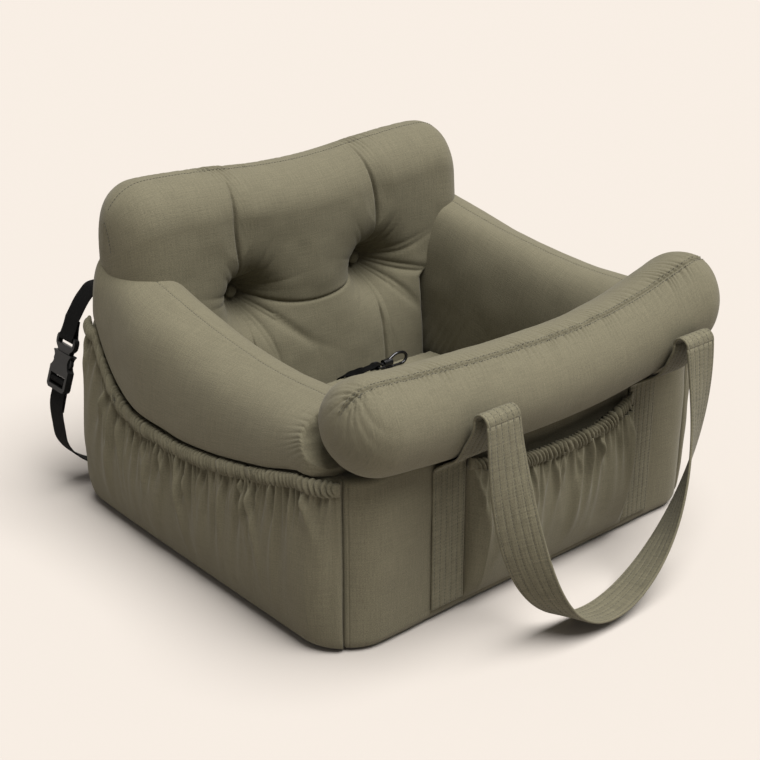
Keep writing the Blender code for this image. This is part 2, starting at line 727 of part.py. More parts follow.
def add_seat_cushion(cover):
    """A low crowned cushion on the base foam, between the arms."""
    half = ARM_INNER_X - CLEARANCE
    front, back = seat_cushion_ends()
    edge = SEAT_EDGE_ROUND
    lines_x = spaced(-half, 3, -half + edge, 8, half - edge, 3, half)
    lines_y = spaced(front, 3, front + edge, 7, back - edge, 3, back)
    x, y = np.meshgrid(lines_x, lines_y)
    fill = rounding(half - np.abs(x), edge) * rounding(np.minimum(y - front, back - y), edge)
    fill[0], fill[-1], fill[:, 0], fill[:, -1] = 0, 0, 0, 0
    seam = CUSHION_FOOT + SEAT_CROWN
    top = np.stack([x, y, seam + (seat_top(x, y) - seam) * fill], axis=-1)
    low = np.stack([x, y, seam - SEAT_CROWN * np.sqrt(fill)], axis=-1)
    add_pillow("seat_cushion", top, low, cover)


def sheet_solid(name, path, normals, low, high, offset_low, offset_high, bulge, folds, finish):
    """Pocket cloth that stands off a wall: seated at its foot, full below its gathered top."""
    rows = POCKET_ROWS
    run = np.concatenate([[0], np.cumsum(np.linalg.norm(np.diff(path, axis=0), axis=1))])
    run /= run[-1]
    ends = np.sqrt(np.clip(np.minimum(run, 1 - run) * 8, 0, 1))
    wave = np.sin(run * folds * 2 * pi)
    faces_out, faces_in = [], []
    for row in range(rows + 1):
        share = row / rows
        height = low + (high - low) * share
        swell = bulge * np.sin(pi * share**0.8) * ends
        fold = FOLD_DEPTH * wave * share**1.5 * ends
        out = offset_low + (offset_high - offset_low) * share * ends + swell + fold
        for side, sheet in ((1, faces_out), (-1, faces_in)):
            place = path + normals * (out + side * POCKET_CLOTH / 2)[:, None]
            sheet.append(np.column_stack([place, height]))
    columns = len(path)
    rings = []
    for column in range(columns):
        outer = [sheet[column] for sheet in faces_out]
        inner = [sheet[column] for sheet in faces_in[::-1]]
        rings.append(outer + inner)
    return add_loft(name, rings, finish)


def hem_solid(name, path, normals, height, offset, finish):
    """A gathered hem with its elastic inside: a tube whose girth ripples along the edge."""
    run = np.concatenate([[0], np.cumsum(np.linalg.norm(np.diff(path, axis=0), axis=1))])
    run /= run[-1]
    centre = np.column_stack([path + normals * offset[:, None], height])
    girth = HEM_RADIUS + HEM_RIPPLE * np.cos(run * HEM_RIPPLES * 2 * pi)
    angles = np.arange(HEM_SIDES) / HEM_SIDES * 2 * pi
    out = np.column_stack([normals, np.zeros(len(path))])
    rings = [
        [c + g * (cos(a) * o + sin(a) * np.array([0.0, 0.0, 1.0])) for a in angles]
        for c, g, o in zip(centre, girth, out)
    ]
    return add_loft(name, rings, finish)


def dense_path(side, count):
    """One wall's outer plan line read at even steps, with its normals."""
    stations = roll_middle_stations() if side in ("front", "back") else side_stations()
    path, normals = wall_path(side, 0.0, stations)
    run = np.concatenate([[0], np.cumsum(np.linalg.norm(np.diff(path, axis=0), axis=1))])
    at = np.linspace(0, run[-1], count)
    path = np.column_stack([np.interp(at, run, path[:, k]) for k in range(2)])
    normals = np.column_stack([np.interp(at, run, normals[:, k]) for k in range(2)])
    return path, normals / np.linalg.norm(normals, axis=1)[:, None]


def add_pockets(cover, trim):
    """Gathered pockets on both sides and at the front, each with an elastic hem."""
    seated = 2 * CLEARANCE + POCKET_CLOTH / 2
    hem_reach = HEM_RADIUS + HEM_RIPPLE
    for side in ("left", "right"):
        path, normals = dense_path(side, 3 * SIDE_FOLDS + 1)
        hem_z = rim_height(path[:, 1]) - HEM_DROP
        low = np.full(len(path), WALL_FOOT)
        top = hem_z - hem_reach - 3 * CLEARANCE
        sheet_solid(side + "_pocket", path, normals, low, top, seated,
                    SIDE_HEM_OFFSET, SIDE_POCKET_BULGE, SIDE_FOLDS, cover)
        path, normals = dense_path(side, 2 * HEM_RIPPLES + 1)
        hem_z = rim_height(path[:, 1]) - HEM_DROP
        run = np.linspace(0, 1, len(path))
        ends = np.sqrt(np.clip(np.minimum(run, 1 - run) * 8, 0, 1))
        close = CLEARANCE + hem_reach
        offset = close + (SIDE_HEM_OFFSET - close) * ends
        hem_solid(side + "_pocket_hem", path, normals, hem_z, offset, trim)
    half = HANDLE_WEBBING_WIDTH / 2 + CLEARANCE
    left, right = FRONT_HANDLE_LEFT + half, FRONT_HANDLE_RIGHT - half
    for count, part in ((3 * FRONT_FOLDS + 1, "sheet"), (2 * HEM_RIPPLES + 1, "hem")):
        x = np.linspace(left, right, count)
        path = np.column_stack([x, np.full(count, -HALF_DEPTH)])
        normals = np.tile((0.0, -1.0), (count, 1))
        share = (2 * (x - left) / (right - left) - 1) ** 2
        hem_z = FRONT_HEM_MIDDLE + (FRONT_HEM_END - FRONT_HEM_MIDDLE) * share
        if part == "sheet":
            low = np.full(count, WALL_FOOT)
            sheet_solid("front_pocket", path, normals, low, hem_z - hem_reach - 3 * CLEARANCE,
                        seated, FRONT_HEM_OFFSET, FRONT_POCKET_BULGE, FRONT_FOLDS, cover)
        else:
            offset = FRONT_HEM_OFFSET + (FRONT_HEM_END_OFFSET - FRONT_HEM_OFFSET) * share**2
            hem_solid("front_pocket_hem", path, normals, hem_z, offset, trim)


def ribbon(name, route, across, width, thickness, finish, count, origin=(0.0, 0.0, 0.0)):
    """Webbing along a smooth route; the width direction is given at each route point."""
    both = smooth_route(np.hstack([np.asarray(route, float), np.asarray(across, float)]), count)
    rings = ribbon_rings(both[:, :3], both[:, 3:], width, thickness)
    return add_loft(name, rings, finish, origin)


def front_fold_line():
    return -HALF_DEPTH - FRONT_FOLD_REACH, FRONT_FOLD_HEIGHT


def back_fold_line():
    reach = CLEARANCE + HANDLE_WEBBING_THICKNESS / 2 + HANDLE_FOLD_RADIUS
    return HALF_DEPTH + reach, BACK_FOLD_HEIGHT


def add_front_strip(name, x, webbing):
    """Webbing sewn up the front panel, then led round under the roll to the handle's fold."""
    half = HANDLE_WEBBING_THICKNESS / 2
    flat_y = -HALF_DEPTH - CLEARANCE - half
    fold_y, fold_z = front_fold_line()
    edges = np.array([x - HANDLE_WEBBING_WIDTH / 2, x + HANDLE_WEBBING_WIDTH / 2])
    centre_z = float(roll_height(edges).min())
    centre_y = ROLL_BACK_Y - float(roll_radius(x))
    around = float(roll_radius(edges).max()) + half + 4 * CLEARANCE
    reach = fold_y + HANDLE_FOLD_RADIUS
    route = [(x, flat_y, WALL_FOOT + STRIP_FOOT_GAP), (x, flat_y, centre_z / 2)]
    for drop in (4, 3):
        route.append((x, flat_y, centre_z - around - drop * HANDLE_WEBBING_THICKNESS))
    for angle in (radians(248), radians(222), radians(200)):
        route.append((x, centre_y + around * cos(angle), centre_z + around * sin(angle)))
    route.append((x, reach, fold_z - HANDLE_FOLD_RADIUS / 2))
    route.append((x, reach, fold_z))
    across = [(1.0, 0.0, 0.0)] * len(route)
    ribbon(name, route, across, HANDLE_WEBBING_WIDTH, HANDLE_WEBBING_THICKNESS, webbing, 34)


def add_back_strip(name, x, webbing):
    """Webbing sewn up the back panel to the back handle's fold."""
    half = HANDLE_WEBBING_THICKNESS / 2
    flat_y = HALF_DEPTH + CLEARANCE + half
    fold_z = back_fold_line()[1]
    route = [(x, flat_y, WALL_FOOT + STRIP_FOOT_GAP + (fold_z - WALL_FOOT) * share)
             for share in (0.0, 0.5)] + [(x, flat_y, fold_z)]
    across = [(1.0, 0.0, 0.0)] * len(route)
    ribbon(name, route, across, HANDLE_WEBBING_WIDTH, HANDLE_WEBBING_THICKNESS, webbing, 6)


def add_fold(name, x, fold, side, webbing):
    """The half turn of webbing between a strip and its handle, over the top of the fold."""
    y, z = fold
    angles = np.linspace(0, pi, 11)
    path = np.column_stack([
        np.full(len(angles), x), y - side * HANDLE_FOLD_RADIUS * np.cos(angles),
        z + CLEARANCE + HANDLE_FOLD_RADIUS * np.sin(angles),
    ])
    across = np.tile((1.0, 0.0, 0.0), (len(angles), 1))
    rings = ribbon_rings(path, across, HANDLE_WEBBING_WIDTH, HANDLE_WEBBING_THICKNESS)
    add_loft(name, rings, webbing, (x, y, z))


def add_handle(name, left, right, fold, side, drop, tilt, skew, webbing):
    """A hanging loop: half an ellipse whose webbing turns edge-on towards its low point."""
    y, z = fold
    turn = np.linspace(0, pi, 45)
    middle, reach = (left + right) / 2, (right - left) / 2
    x = middle - reach * np.cos(turn) - skew * np.sin(turn) ** 2
    down = drop * np.sin(turn) ** 0.9
    start_y = y + side * HANDLE_FOLD_RADIUS
    path = np.column_stack([x, start_y + side * down * sin(tilt), z - down * cos(tilt)])
    along = np.gradient(path, axis=0)
    along[0], along[-1] = (0, 0, -1), (0, 0, 1)
    along /= np.linalg.norm(along, axis=1)[:, None]
    outwards = np.array([0.0, side * cos(tilt), sin(tilt)])
    in_plane = np.cross(outwards, along)
    twist = pi / 2 * np.sin(turn) ** 1.2
    across = np.cos(twist)[:, None] * in_plane - side * np.sin(twist)[:, None] * outwards
    rings = ribbon_rings(path, across, HANDLE_WEBBING_WIDTH, HANDLE_WEBBING_THICKNESS, along)
    add_loft(name, rings, webbing, (middle, y, z))


def add_handles(webbing):
    front, back = front_fold_line(), back_fold_line()
    half_span = BACK_HANDLE_SPAN / 2
    for word, x in (("left", FRONT_HANDLE_LEFT), ("right", FRONT_HANDLE_RIGHT)):
        add_front_strip("front_" + word + "_strip", x, webbing)
        add_fold("front_" + word + "_fold", x, front, -1, webbing)
    for word, x in (("left", -half_span), ("right", half_span)):
        add_back_strip("back_" + word + "_strip", x, webbing)
        add_fold("back_" + word + "_fold", x, back, 1, webbing)
    add_handle("front_handle", FRONT_HANDLE_LEFT, FRONT_HANDLE_RIGHT, front, -1,
               FRONT_HANDLE_DROP, FRONT_HANDLE_TILT, FRONT_HANDLE_SKEW, webbing)
    add_handle("back_handle", -half_span, half_span, back, 1,
               BACK_HANDLE_DROP, BACK_HANDLE_TILT, 0.0, webbing)


def strap_point(along, out):
    """World place of a point on the buckle's middle plane."""
    x, z = BUCKLE_PLACE
    return (x + along * sin(BUCKLE_TILT) - out * cos(BUCKLE_TILT), STRAP_Y,
            z + along * cos(BUCKLE_TILT) + out * sin(BUCKLE_TILT))


def ribbon_of_parts(name, parts, width, thickness, finish):
    """One ribbon read from several routes in a row, so that tight turns get closer rings."""
    pieces = []
    for route, across, count in parts:
        both = smooth_route(np.hstack([np.asarray(route, float), np.asarray(across, float)]), count)
        pieces.append(both if not pieces else both[1:])
    both = np.vstack(pieces)
    return add_loft(name, ribbon_rings(both[:, :3], both[:, 3:], width, thickness), finish)


def bar_turn(place, radius, start, end, steps):
    """Route points round a bar across the buckle, from one angle to another."""
    return [
        strap_point(place + radius * cos(angle), radius * sin(angle))
        for angle in np.linspace(radians(start), radians(end), steps)
    ]


def back_run(route_shares, x, z):
    """A strap behind the seat: places in strap widths from (x, z), each with how far its width
    has turned from along X, flat on the back panel, to along Y, standing out from it."""
    wall_y = HALF_DEPTH + CLEARANCE + STRAP_THICKNESS / 2
    route, across = [], []
    for x_share, z_share, turn_share in route_shares:
        turn = turn_share * pi / 2
        y = wall_y + (STRAP_Y - wall_y) * sin(turn)
        route.append((x + STRAP_WIDTH * x_share, y, z + STRAP_WIDTH * z_share))
        across.append((cos(turn), sin(turn), 0.0))
    return route, across


def anchor_place(side):
    """Middle of one anchor in X, and the height of the strap's end above its foot."""
    return side * (HALF_WIDTH - ANCHOR_INSET - STRAP_WIDTH / 2), RIM_BACK - ANCHOR_DROP / 3


def add_short_strap(web):
    """From the left anchor on the back panel to a sewn loop round the plug's bar."""
    anchor_x, top = anchor_place(-1)
    layer = STRAP_THICKNESS / 2 + CLEARANCE
    bar = PLUG_LENGTH - PLUG_BAR / 2
    turn = PLUG_BAR_THICKNESS / 2 + STRAP_THICKNESS / 2 + 4 * CLEARANCE
    end = bar + STRAP_TAIL
    run_shares = [(0, -0.93, 0), (0, -0.10, 0), (0, 0.05, 0), (-0.03, 0.35, 0.22), (-0.18, 0.68, 0.55),
                  (-0.50, 0.92, 0.85), (-0.95, 0.95, 1), (-1.35, 0.66, 1)]
    run, across = back_run(run_shares, anchor_x, top)
    run.append(strap_point(end, layer))
    across.append((0, 1, 0))
    near = [strap_point(end, layer), strap_point(end - STRAP_TAIL / 3, layer * 1.3),
            strap_point(bar + turn, turn * 0.8)]
    loop = bar_turn(bar, turn, 90, 270, 9)
    back = [strap_point(bar + turn, -turn * 0.8), strap_point(end - STRAP_TAIL / 3, -layer * 1.3),
            strap_point(end - CLEARANCE, -layer)]
    wrap = near + loop + back
    ribbon_of_parts("short_seat_strap", [
        (run, across, 22), (wrap, [(0, 1, 0)] * len(wrap), 30),
    ], STRAP_WIDTH, STRAP_THICKNESS, web)


def ladder_places():
    """Where the socket's web, middle bar and end bar lie along the buckle."""
    web_end = -SOCKET_CAVITY_LENGTH - SOCKET_WEB
    bar = web_end - LADDER_SLOT - LADDER_BAR / 2
    end_bar = bar - LADDER_BAR / 2 - LADDER_SLOT
    return web_end, bar, end_bar


def add_long_strap(web):
    """From the tail in the ladder lock, down to the floor, behind the seat and up its right side."""
    floor = CLEARANCE + STRAP_THICKNESS / 2
    first = -STRAP_THICKNESS / 2 - CLEARANCE - BUCKLE_THICKNESS / 9
    second = first - STRAP_THICKNESS - CLEARANCE
    bar, end_bar = ladder_places()[1:]
    turn = LADDER_BAR / 2 + STRAP_THICKNESS / 2 + 3 * CLEARANCE
    tail_end = -SOCKET_LENGTH - STRAP_TAIL
    wrap = [strap_point(tail_end, second * 1.35), strap_point(-SOCKET_LENGTH, second * 1.06),
            strap_point(end_bar, second)]
    wrap += bar_turn(bar, turn, 285, 360, 4) + bar_turn(bar, turn, 18, 180, 8)
    wrap += [strap_point(end_bar, first), strap_point(-SOCKET_LENGTH, first)]
    low = strap_point(-SOCKET_LENGTH - STRAP_TAIL * 0.6, first)
    run = [wrap[-1], low]
    down_shares = [(0.0, 0.71), (0.02, 0.55), (0.12, 0.38), (0.28, 0.24), (0.52, 0.11), (0.80, 0.03)]
    for across_share, up_share in down_shares:
        run.append((low[0] + low[2] * across_share, STRAP_Y, floor + (low[2] - floor) * up_share))
    run += [(low[0] + low[2], STRAP_Y, floor), (low[0] + 1.2 * low[2], STRAP_Y, floor)]
    anchor_x, top = anchor_place(1)
    rise_shares = [(-2, 0, 1), (-1.2, 0, 1), (-0.7, 0.06, 1), (-0.32, 0.26, 1), (-0.08, 0.62, 1),
                   (0, 1.05, 0.95), (0, 1.6, 0.75), (0, 2.3, 0.4), (0, 3.0, 0.1), (0, 3.4, 0), (0, 3.8, 0)]
    rise, turning = back_run(rise_shares, anchor_x, floor)
    run.append(rise[0])
    rise.append((anchor_x, rise[-1][1], top))
    turning.append((1, 0, 0))
    ribbon_of_parts("long_seat_strap", [
        (wrap, [(0, 1, 0)] * len(wrap), 36), (run, [(0, 1, 0)] * len(run), 34),
        (rise, turning, 26),
    ], STRAP_WIDTH, STRAP_THICKNESS, web)


def add_anchor_patches(web):
    """The sewn patch over each end of the seat strap on the back panel."""
    near = HALF_DEPTH + CLEARANCE + STRAP_THICKNESS + CLEARANCE
    far = near + ANCHOR_PATCH_THICKNESS
    half = STRAP_WIDTH / 2 + STRAP_THICKNESS
    for word, side in (("left", -1), ("right", 1)):
        x, top = anchor_place(side)
        top -= STRAP_THICKNESS
        patch = add_block(word + "_strap_anchor", (x - half, near, top - ANCHOR_LENGTH),
                          (x + half, far, top), web)
        add_bevel(patch, ANCHOR_PATCH_THICKNESS / 4, 1)


def mirrored(half_outline):
    """A whole outline from its right half, given from low to high."""
    return half_outline + [(-x, y) for x, y in half_outline[::-1]]


def buckle_frame():
    """An empty on the buckle: x across it, y along it to the plug, z out of its face."""
    frame = bpy.data.objects.new("buckle_frame", None)
    bpy.context.scene.collection.objects.link(frame)
    x, z = BUCKLE_PLACE
    across = Vector((0, -1, 0))
    along = Vector((sin(BUCKLE_TILT), 0, cos(BUCKLE_TILT)))
    out = across.cross(along)
    turn = Matrix((across, along, out)).transposed().to_4x4()
    frame.matrix_world = Matrix.Translation((x, STRAP_Y, z)) @ turn
    return frame


def on_frame(made, frame, hinge=(0.0, 0.0, 0.0)):
    """Hangs a piece modelled in the buckle's own axes on the buckle, turning about its hinge."""
    made.data.transform(Matrix.Translation(-Vector(hinge)))
    made.parent = frame
    made.location = hinge
    for change in made.modifiers:
        if change.type == "BOOLEAN":
            change.object.parent = frame
    return made


def add_plug(frame, plastic):
    half = BUCKLE_WIDTH / 2
    profile_shares = [(0.66, 0.0), (0.68, 0.12), (0.84, 0.24), (0.97, 0.38), (1.0, 0.55),
                      (1.0, 0.78), (0.93, 0.93), (0.80, 1.0)]
    outline = mirrored([(half * a, PLUG_LENGTH * b) for a, b in profile_shares])
    plug = add_prism("buckle_plug", outline, -PLUG_THICKNESS / 2, PLUG_THICKNESS / 2, plastic)
    slot_half = STRAP_WIDTH / 2 + SLOT_SIDE_CLEARANCE
    bar_low = PLUG_LENGTH - PLUG_BAR
    slot = add_block("plug_slot_cutter", (-slot_half, bar_low - PLUG_SLOT, -OVERRUN),
                     (slot_half, bar_low, OVERRUN), plastic)
    cut(plug, slot)
    for word, side in (("front", 1), ("back", -1)):
        near, far = sorted((side * PLUG_BAR_THICKNESS / 2, side * OVERRUN))
        relief = add_block("plug_" + word + "_relief_cutter", (-slot_half, bar_low - CLEARANCE, near),
                           (slot_half, PLUG_LENGTH + OVERRUN, far), plastic)
        cut(plug, relief)
    guide_end = -SOCKET_CAVITY_LENGTH + PRONG_LENGTH / 5
    guide_half = PLUG_THICKNESS / 3
    guide = add_block("plug_guide_cutter", (-GUIDE_HALF_WIDTH, guide_end, -guide_half),
                      (GUIDE_HALF_WIDTH, (bar_low - PLUG_SLOT) / 2, guide_half), plastic)
    cut(plug, guide, "UNION")
    add_bevel(plug, BUCKLE_EDGE / 2, 1)
    return on_frame(plug, frame)


def add_socket(frame, plastic):
    """The female half: a cavity for the prongs, open scallops beside them and a ladder lock."""
    half = BUCKLE_WIDTH / 2
    web_end, bar, end_bar = ladder_places()
    profile_shares = [(0.78, 1.0), (0.93, 0.955), (1.0, 0.90), (1.0, 0.10), (0.97, 0.03), (0.90, 0.0)]
    span = SOCKET_LENGTH - CLEARANCE
    outline = mirrored([(half * a, -CLEARANCE - span * b) for a, b in profile_shares])
    socket = add_prism("buckle_socket", outline, -BUCKLE_THICKNESS / 2, BUCKLE_THICKNESS / 2, plastic)
    side_wall = BUCKLE_WALL * 2
    cavity = add_block(
        "socket_cavity_cutter",
        (-half + side_wall, -SOCKET_CAVITY_LENGTH, -BUCKLE_THICKNESS / 2 + BUCKLE_WALL),
        (half - side_wall, OVERRUN, BUCKLE_THICKNESS / 2 - BUCKLE_WALL), plastic)
    cut(socket, cavity)
    for word, side in (("left", -1), ("right", 1)):
        x = side * (half + SCALLOP_REACH)
        y = -PRONG_LENGTH * 0.45
        cut(socket, add_rod("socket_" + word + "_scallop_cutter", SCALLOP_RADIUS,
                            (x, y, -OVERRUN), (x, y, OVERRUN), plastic, 32))
    slot_half = STRAP_WIDTH / 2 + SLOT_SIDE_CLEARANCE
    cut(socket, add_block("ladder_cutter", (-slot_half, end_bar, -OVERRUN),
                          (slot_half, web_end, OVERRUN), plastic))
    low = -BUCKLE_THICKNESS / 9
    cut(socket, add_block("end_bar_relief_cutter", (-slot_half, -SOCKET_LENGTH - OVERRUN, -OVERRUN),
                          (slot_half, end_bar + CLEARANCE, low), plastic))
    rung = add_block("ladder_bar_cutter", (-slot_half - BUCKLE_WALL / 2, bar - LADDER_BAR / 2, -LADDER_BAR * 0.4),
                     (slot_half + BUCKLE_WALL / 2, bar + LADDER_BAR / 2, LADDER_BAR * 0.4), plastic)
    cut(socket, rung, "UNION")
    add_bevel(socket, BUCKLE_EDGE / 2, 1)
    return on_frame(socket, frame)


def add_prongs(frame, plastic):
    """The two sprung arms: each carries a thumb pad in a scallop and turns about its root."""
    half = BUCKLE_WIDTH / 2
    profile_shares = [
        (0.42, 0.0), (0.61, 0.0), (0.73, 0.13), (0.87, 0.235), (0.95, 0.34), (0.975, 0.45),
        (0.95, 0.56), (0.90, 0.64), (0.80, 0.69), (0.73, 0.87), (0.61, 0.985), (0.51, 1.0),
        (0.478, 0.91), (0.488, 0.51), (0.45, 0.17),
    ]
    reach = BUCKLE_THICKNESS / 2 - BUCKLE_WALL - CLEARANCE
    for word, side in (("left", -1), ("right", 1)):
        outline = [(side * half * a, -CLEARANCE - PRONG_LENGTH * b) for a, b in profile_shares]
        prong = add_prism(word + "_prong", outline, -reach, reach, plastic)
        add_bevel(prong, BUCKLE_EDGE / 2, 1)
        on_frame(prong, frame, (side * half * 0.515, -CLEARANCE, 0.0))


def snap_place():
    """The snap's turning axis: along X, low over the seat cushion near the backrest."""
    height = seat_top(SNAP_PLACE_X, SNAP_PLACE_Y - SNAP_SWING_RADIUS) + SNAP_SWING_RADIUS + CLEARANCE
    return SNAP_PLACE_X, SNAP_PLACE_Y, height


def snap_point(along, up=0.0, out=0.0):
    x, y, z = snap_place()
    return (x + along, y + out, z + up)


def tube_rings(path, radius, sides):
    """Round rings square to a path that lies in the plane y = constant or z = constant."""
    path = np.asarray(path, float)
    along = np.gradient(path, axis=0)
    along /= np.linalg.norm(along, axis=1)[:, None]
    side = np.array([0.0, 1.0, 0.0])
    up = np.cross(along, side)
    up /= np.linalg.norm(up, axis=1)[:, None]
    angles = np.arange(sides) / sides * 2 * pi
    return [[p + radius * (cos(a) * u + sin(a) * side) for a in angles] for p, u in zip(path, up)]


def add_snap_hook(metal):
    """Barrel, hook and bolt housing in one casting, bored for the stem and for the bolt."""
    body = add_rod("snap_hook", BARREL_RADIUS, snap_point(0.0), snap_point(BARREL_LENGTH), metal)
    hook_shares = [(0.16, 0.25), (0.34, 0.60), (0.52, 0.97), (0.74, 1.0), (0.93, 0.66), (1.0, 0.02),
                   (0.95, -0.58), (0.83, -BOLT_OFFSET / HOOK_RISE)]
    route = [snap_point(HOOK_REACH * a, HOOK_RISE * b) for a, b in hook_shares]
    route.append(snap_point(HOOK_TIP, -BOLT_OFFSET))
    rings = tube_rings(smooth_route(route, 26), SNAP_ROD, 10)
    cut(body, add_loft("snap_hook_rod_cutter", rings, metal), "UNION")
    housing_end = BARREL_LENGTH + CLEARANCE
    cut(body, add_rod("bolt_housing_cutter", BOLT_HOUSING_RADIUS,
                      snap_point(BOLT_HOUSING_START, -BOLT_OFFSET),
                      snap_point(housing_end, -BOLT_OFFSET), metal), "UNION")
    bore = BOLT_RADIUS + CLEARANCE
    bore_start = BOLT_START - BOLT_TRAVEL - CLEARANCE
    cut(body, add_rod("bolt_bore_cutter", bore, snap_point(bore_start, -BOLT_OFFSET),
                      snap_point(housing_end + CLEARANCE, -BOLT_OFFSET), metal, 20))
    stem_bore = EYE_STEM + CLEARANCE
    cut(body, add_rod("stem_bore_cutter", stem_bore, snap_point(-OVERRUN / 5),
                      snap_point(BARREL_LENGTH / 2 + CLEARANCE), metal, 20))
    slot_low = BOLT_KNOB_PLACE - BOLT_TRAVEL - BOLT_KNOB_RADIUS - CLEARANCE
    slot_high = BOLT_KNOB_PLACE + BOLT_KNOB_RADIUS + CLEARANCE
    slot_half = BOLT_KNOB_RADIUS + CLEARANCE / 2
    cut(body, add_block("knob_slot_cutter", snap_point(slot_low, -BOLT_OFFSET - slot_half, -OVERRUN),
                        snap_point(slot_high, -BOLT_OFFSET + slot_half, 0.0), metal))
    return body


def add_snap_bolt(metal):
    """The sliding bolt that closes the hook, with its thumb knob."""
    bolt = add_rod("snap_bolt", BOLT_RADIUS, snap_point(BOLT_START, -BOLT_OFFSET),
                   snap_point(HOOK_TIP - CLEARANCE, -BOLT_OFFSET), metal, 16)
    knob = add_rod("snap_knob_cutter", BOLT_KNOB_RADIUS - CLEARANCE / 2,
                   snap_point(BOLT_KNOB_PLACE, -BOLT_OFFSET),
                   snap_point(BOLT_KNOB_PLACE, -BOLT_OFFSET, -BOLT_KNOB_REACH), metal, 12)
    cut(bolt, knob, "UNION")
    return bolt


def eye_bars():
    return -EYE_GAP - EYE_LENGTH, -EYE_GAP


def add_swivel_eye(metal):
    """A flat oval eye for the webbing, with the stem that turns in the snap's barrel."""
    far, near = eye_bars()
    flat_half = TETHER_WIDTH / 2 + CLEARANCE
    steps = 4
    path = []
    for quarter, (along, out) in enumerate((
        (near - EYE_CORNER, flat_half), (far + EYE_CORNER, flat_half),
        (far + EYE_CORNER, -flat_half), (near - EYE_CORNER, -flat_half),
    )):
        for step in range(steps + 1):
            angle = (quarter + step / steps) * pi / 2
            path.append((along + EYE_CORNER * cos(angle), out + EYE_CORNER * sin(angle)))
    points, faces, sides = [], [], 8
    count = len(path)
    for at, (along, out) in enumerate(path):
        before, after = path[at - 1], path[(at + 1) % count]
        tangent = Vector((after[0] - before[0], after[1] - before[1], 0)).normalized()
        outward = tangent.cross(Vector((0, 0, 1)))
        for side in range(sides):
            angle = side / sides * 2 * pi
            shift = outward * cos(angle) * EYE_ROD + Vector((0, 0, 1)) * sin(angle) * EYE_ROD
            points.append(Vector(snap_point(along, 0.0, out)) + shift)
            here, there, turn = at * sides, (at + 1) % count * sides, (side + 1) % sides
            faces.append([here + side, here + turn, there + turn, there + side])
    eye = add_mesh("swivel_eye", points, faces, metal)
    stem = add_rod("eye_stem_cutter", EYE_STEM, snap_point(near), snap_point(BARREL_LENGTH / 2), metal, 20)
    cut(eye, stem, "UNION")
    return eye


def add_tether(web):
    """Narrow webbing from the crease behind the seat cushion to a sewn loop in the eye."""
    far = eye_bars()[0]
    turn = EYE_ROD + TETHER_THICKNESS / 2 + 2 * CLEARANCE
    layer = TETHER_THICKNESS / 2 + CLEARANCE
    reach = TETHER_WIDTH
    angles = np.linspace(-pi / 2, pi / 2, 7)
    loop = [snap_point(far + turn * cos(a), turn * sin(a)) for a in angles]
    tail = [snap_point(far - reach, -layer), snap_point(far - reach / 2, -layer * 1.3)]
    over = [snap_point(far - reach / 2, layer * 1.3), snap_point(far - reach, layer)]
    wrap = tail + loop + over
    end_z = (CUSHION_FOOT + SEAT_CUSHION_HEIGHT) / 2
    end_y = seat_cushion_ends()[1] + CLEARANCE + TETHER_THICKNESS / 2
    x, y, z = snap_place()
    end_x = x + far - 2.6 * reach
    run = [
        snap_point(far - reach, layer), (x + far - 1.5 * reach, y, z + layer / 2),
        (x + far - 2.1 * reach, y + (end_y - y) * 0.3, z - (z - end_z) * 0.18),
        (end_x, end_y - (end_y - y) * 0.28, z - (z - end_z) * 0.42), (end_x, end_y, z - (z - end_z) * 0.78),
        (end_x, end_y, end_z),
    ]
    across = [(0, 1, 0), (0, 1, 0), (0.5, 0.9, 0.2), (0.95, 0.3, 0.1), (1, 0, 0), (1, 0, 0)]
    ribbon_of_parts("tether_webbing", [
        (wrap, [(0, 1, 0)] * len(wrap), 24), (run, across, 16),
    ], TETHER_WIDTH, TETHER_THICKNESS, web)


def build_seat():
    cover = make_material("olive_fabric", OLIVE, 0.92)
    trim = make_material("olive_trim", OLIVE_DEEP, 0.92)
    grip = make_material("grip_bottom", OLIVE_DEEP, 0.95)
    webbing = make_material("olive_webbing", OLIVE, 0.88)
    foam = make_material("foam", FOAM_GREY, 0.95)
    black_web = make_material("black_webbing", BLACK_WEB, 0.8)
    plastic = make_material("black_plastic", BLACK_PLASTIC, 0.42)
    metal = make_material("black_metal", BLACK_METAL, 0.22, 0.9)
    add_bottom_and_walls(cover, foam, grip)
    add_arm("left_arm_bolster", -1, cover)
    add_arm("right_arm_bolster", 1, cover)
    add_front_roll(cover)
    add_backrest(cover, trim)
    add_seat_cushion(cover)
    add_pockets(cover, trim)
    add_handles(webbing)
    frame = buckle_frame()
    add_plug(frame, plastic)
    add_socket(frame, plastic)
    add_prongs(frame, plastic)
    add_short_strap(black_web)
    add_long_strap(black_web)
    add_anchor_patches(black_web)
    add_swivel_eye(metal)
    add_snap_hook(metal)
    add_snap_bolt(metal)
    add_tether(black_web)


clear_scene()
build_seat()
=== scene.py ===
"""Dressing of a dog car seat: its cushions, cloth, webbing, buckle and snap around a fixed frame.

Run as a script it builds every piece and the stage. Its operators are listed in the sidebar too.
All sizes are in metres. The seat stands on z = 0 with its open front towards -Y.
"""

from math import cos, pi, radians, sin

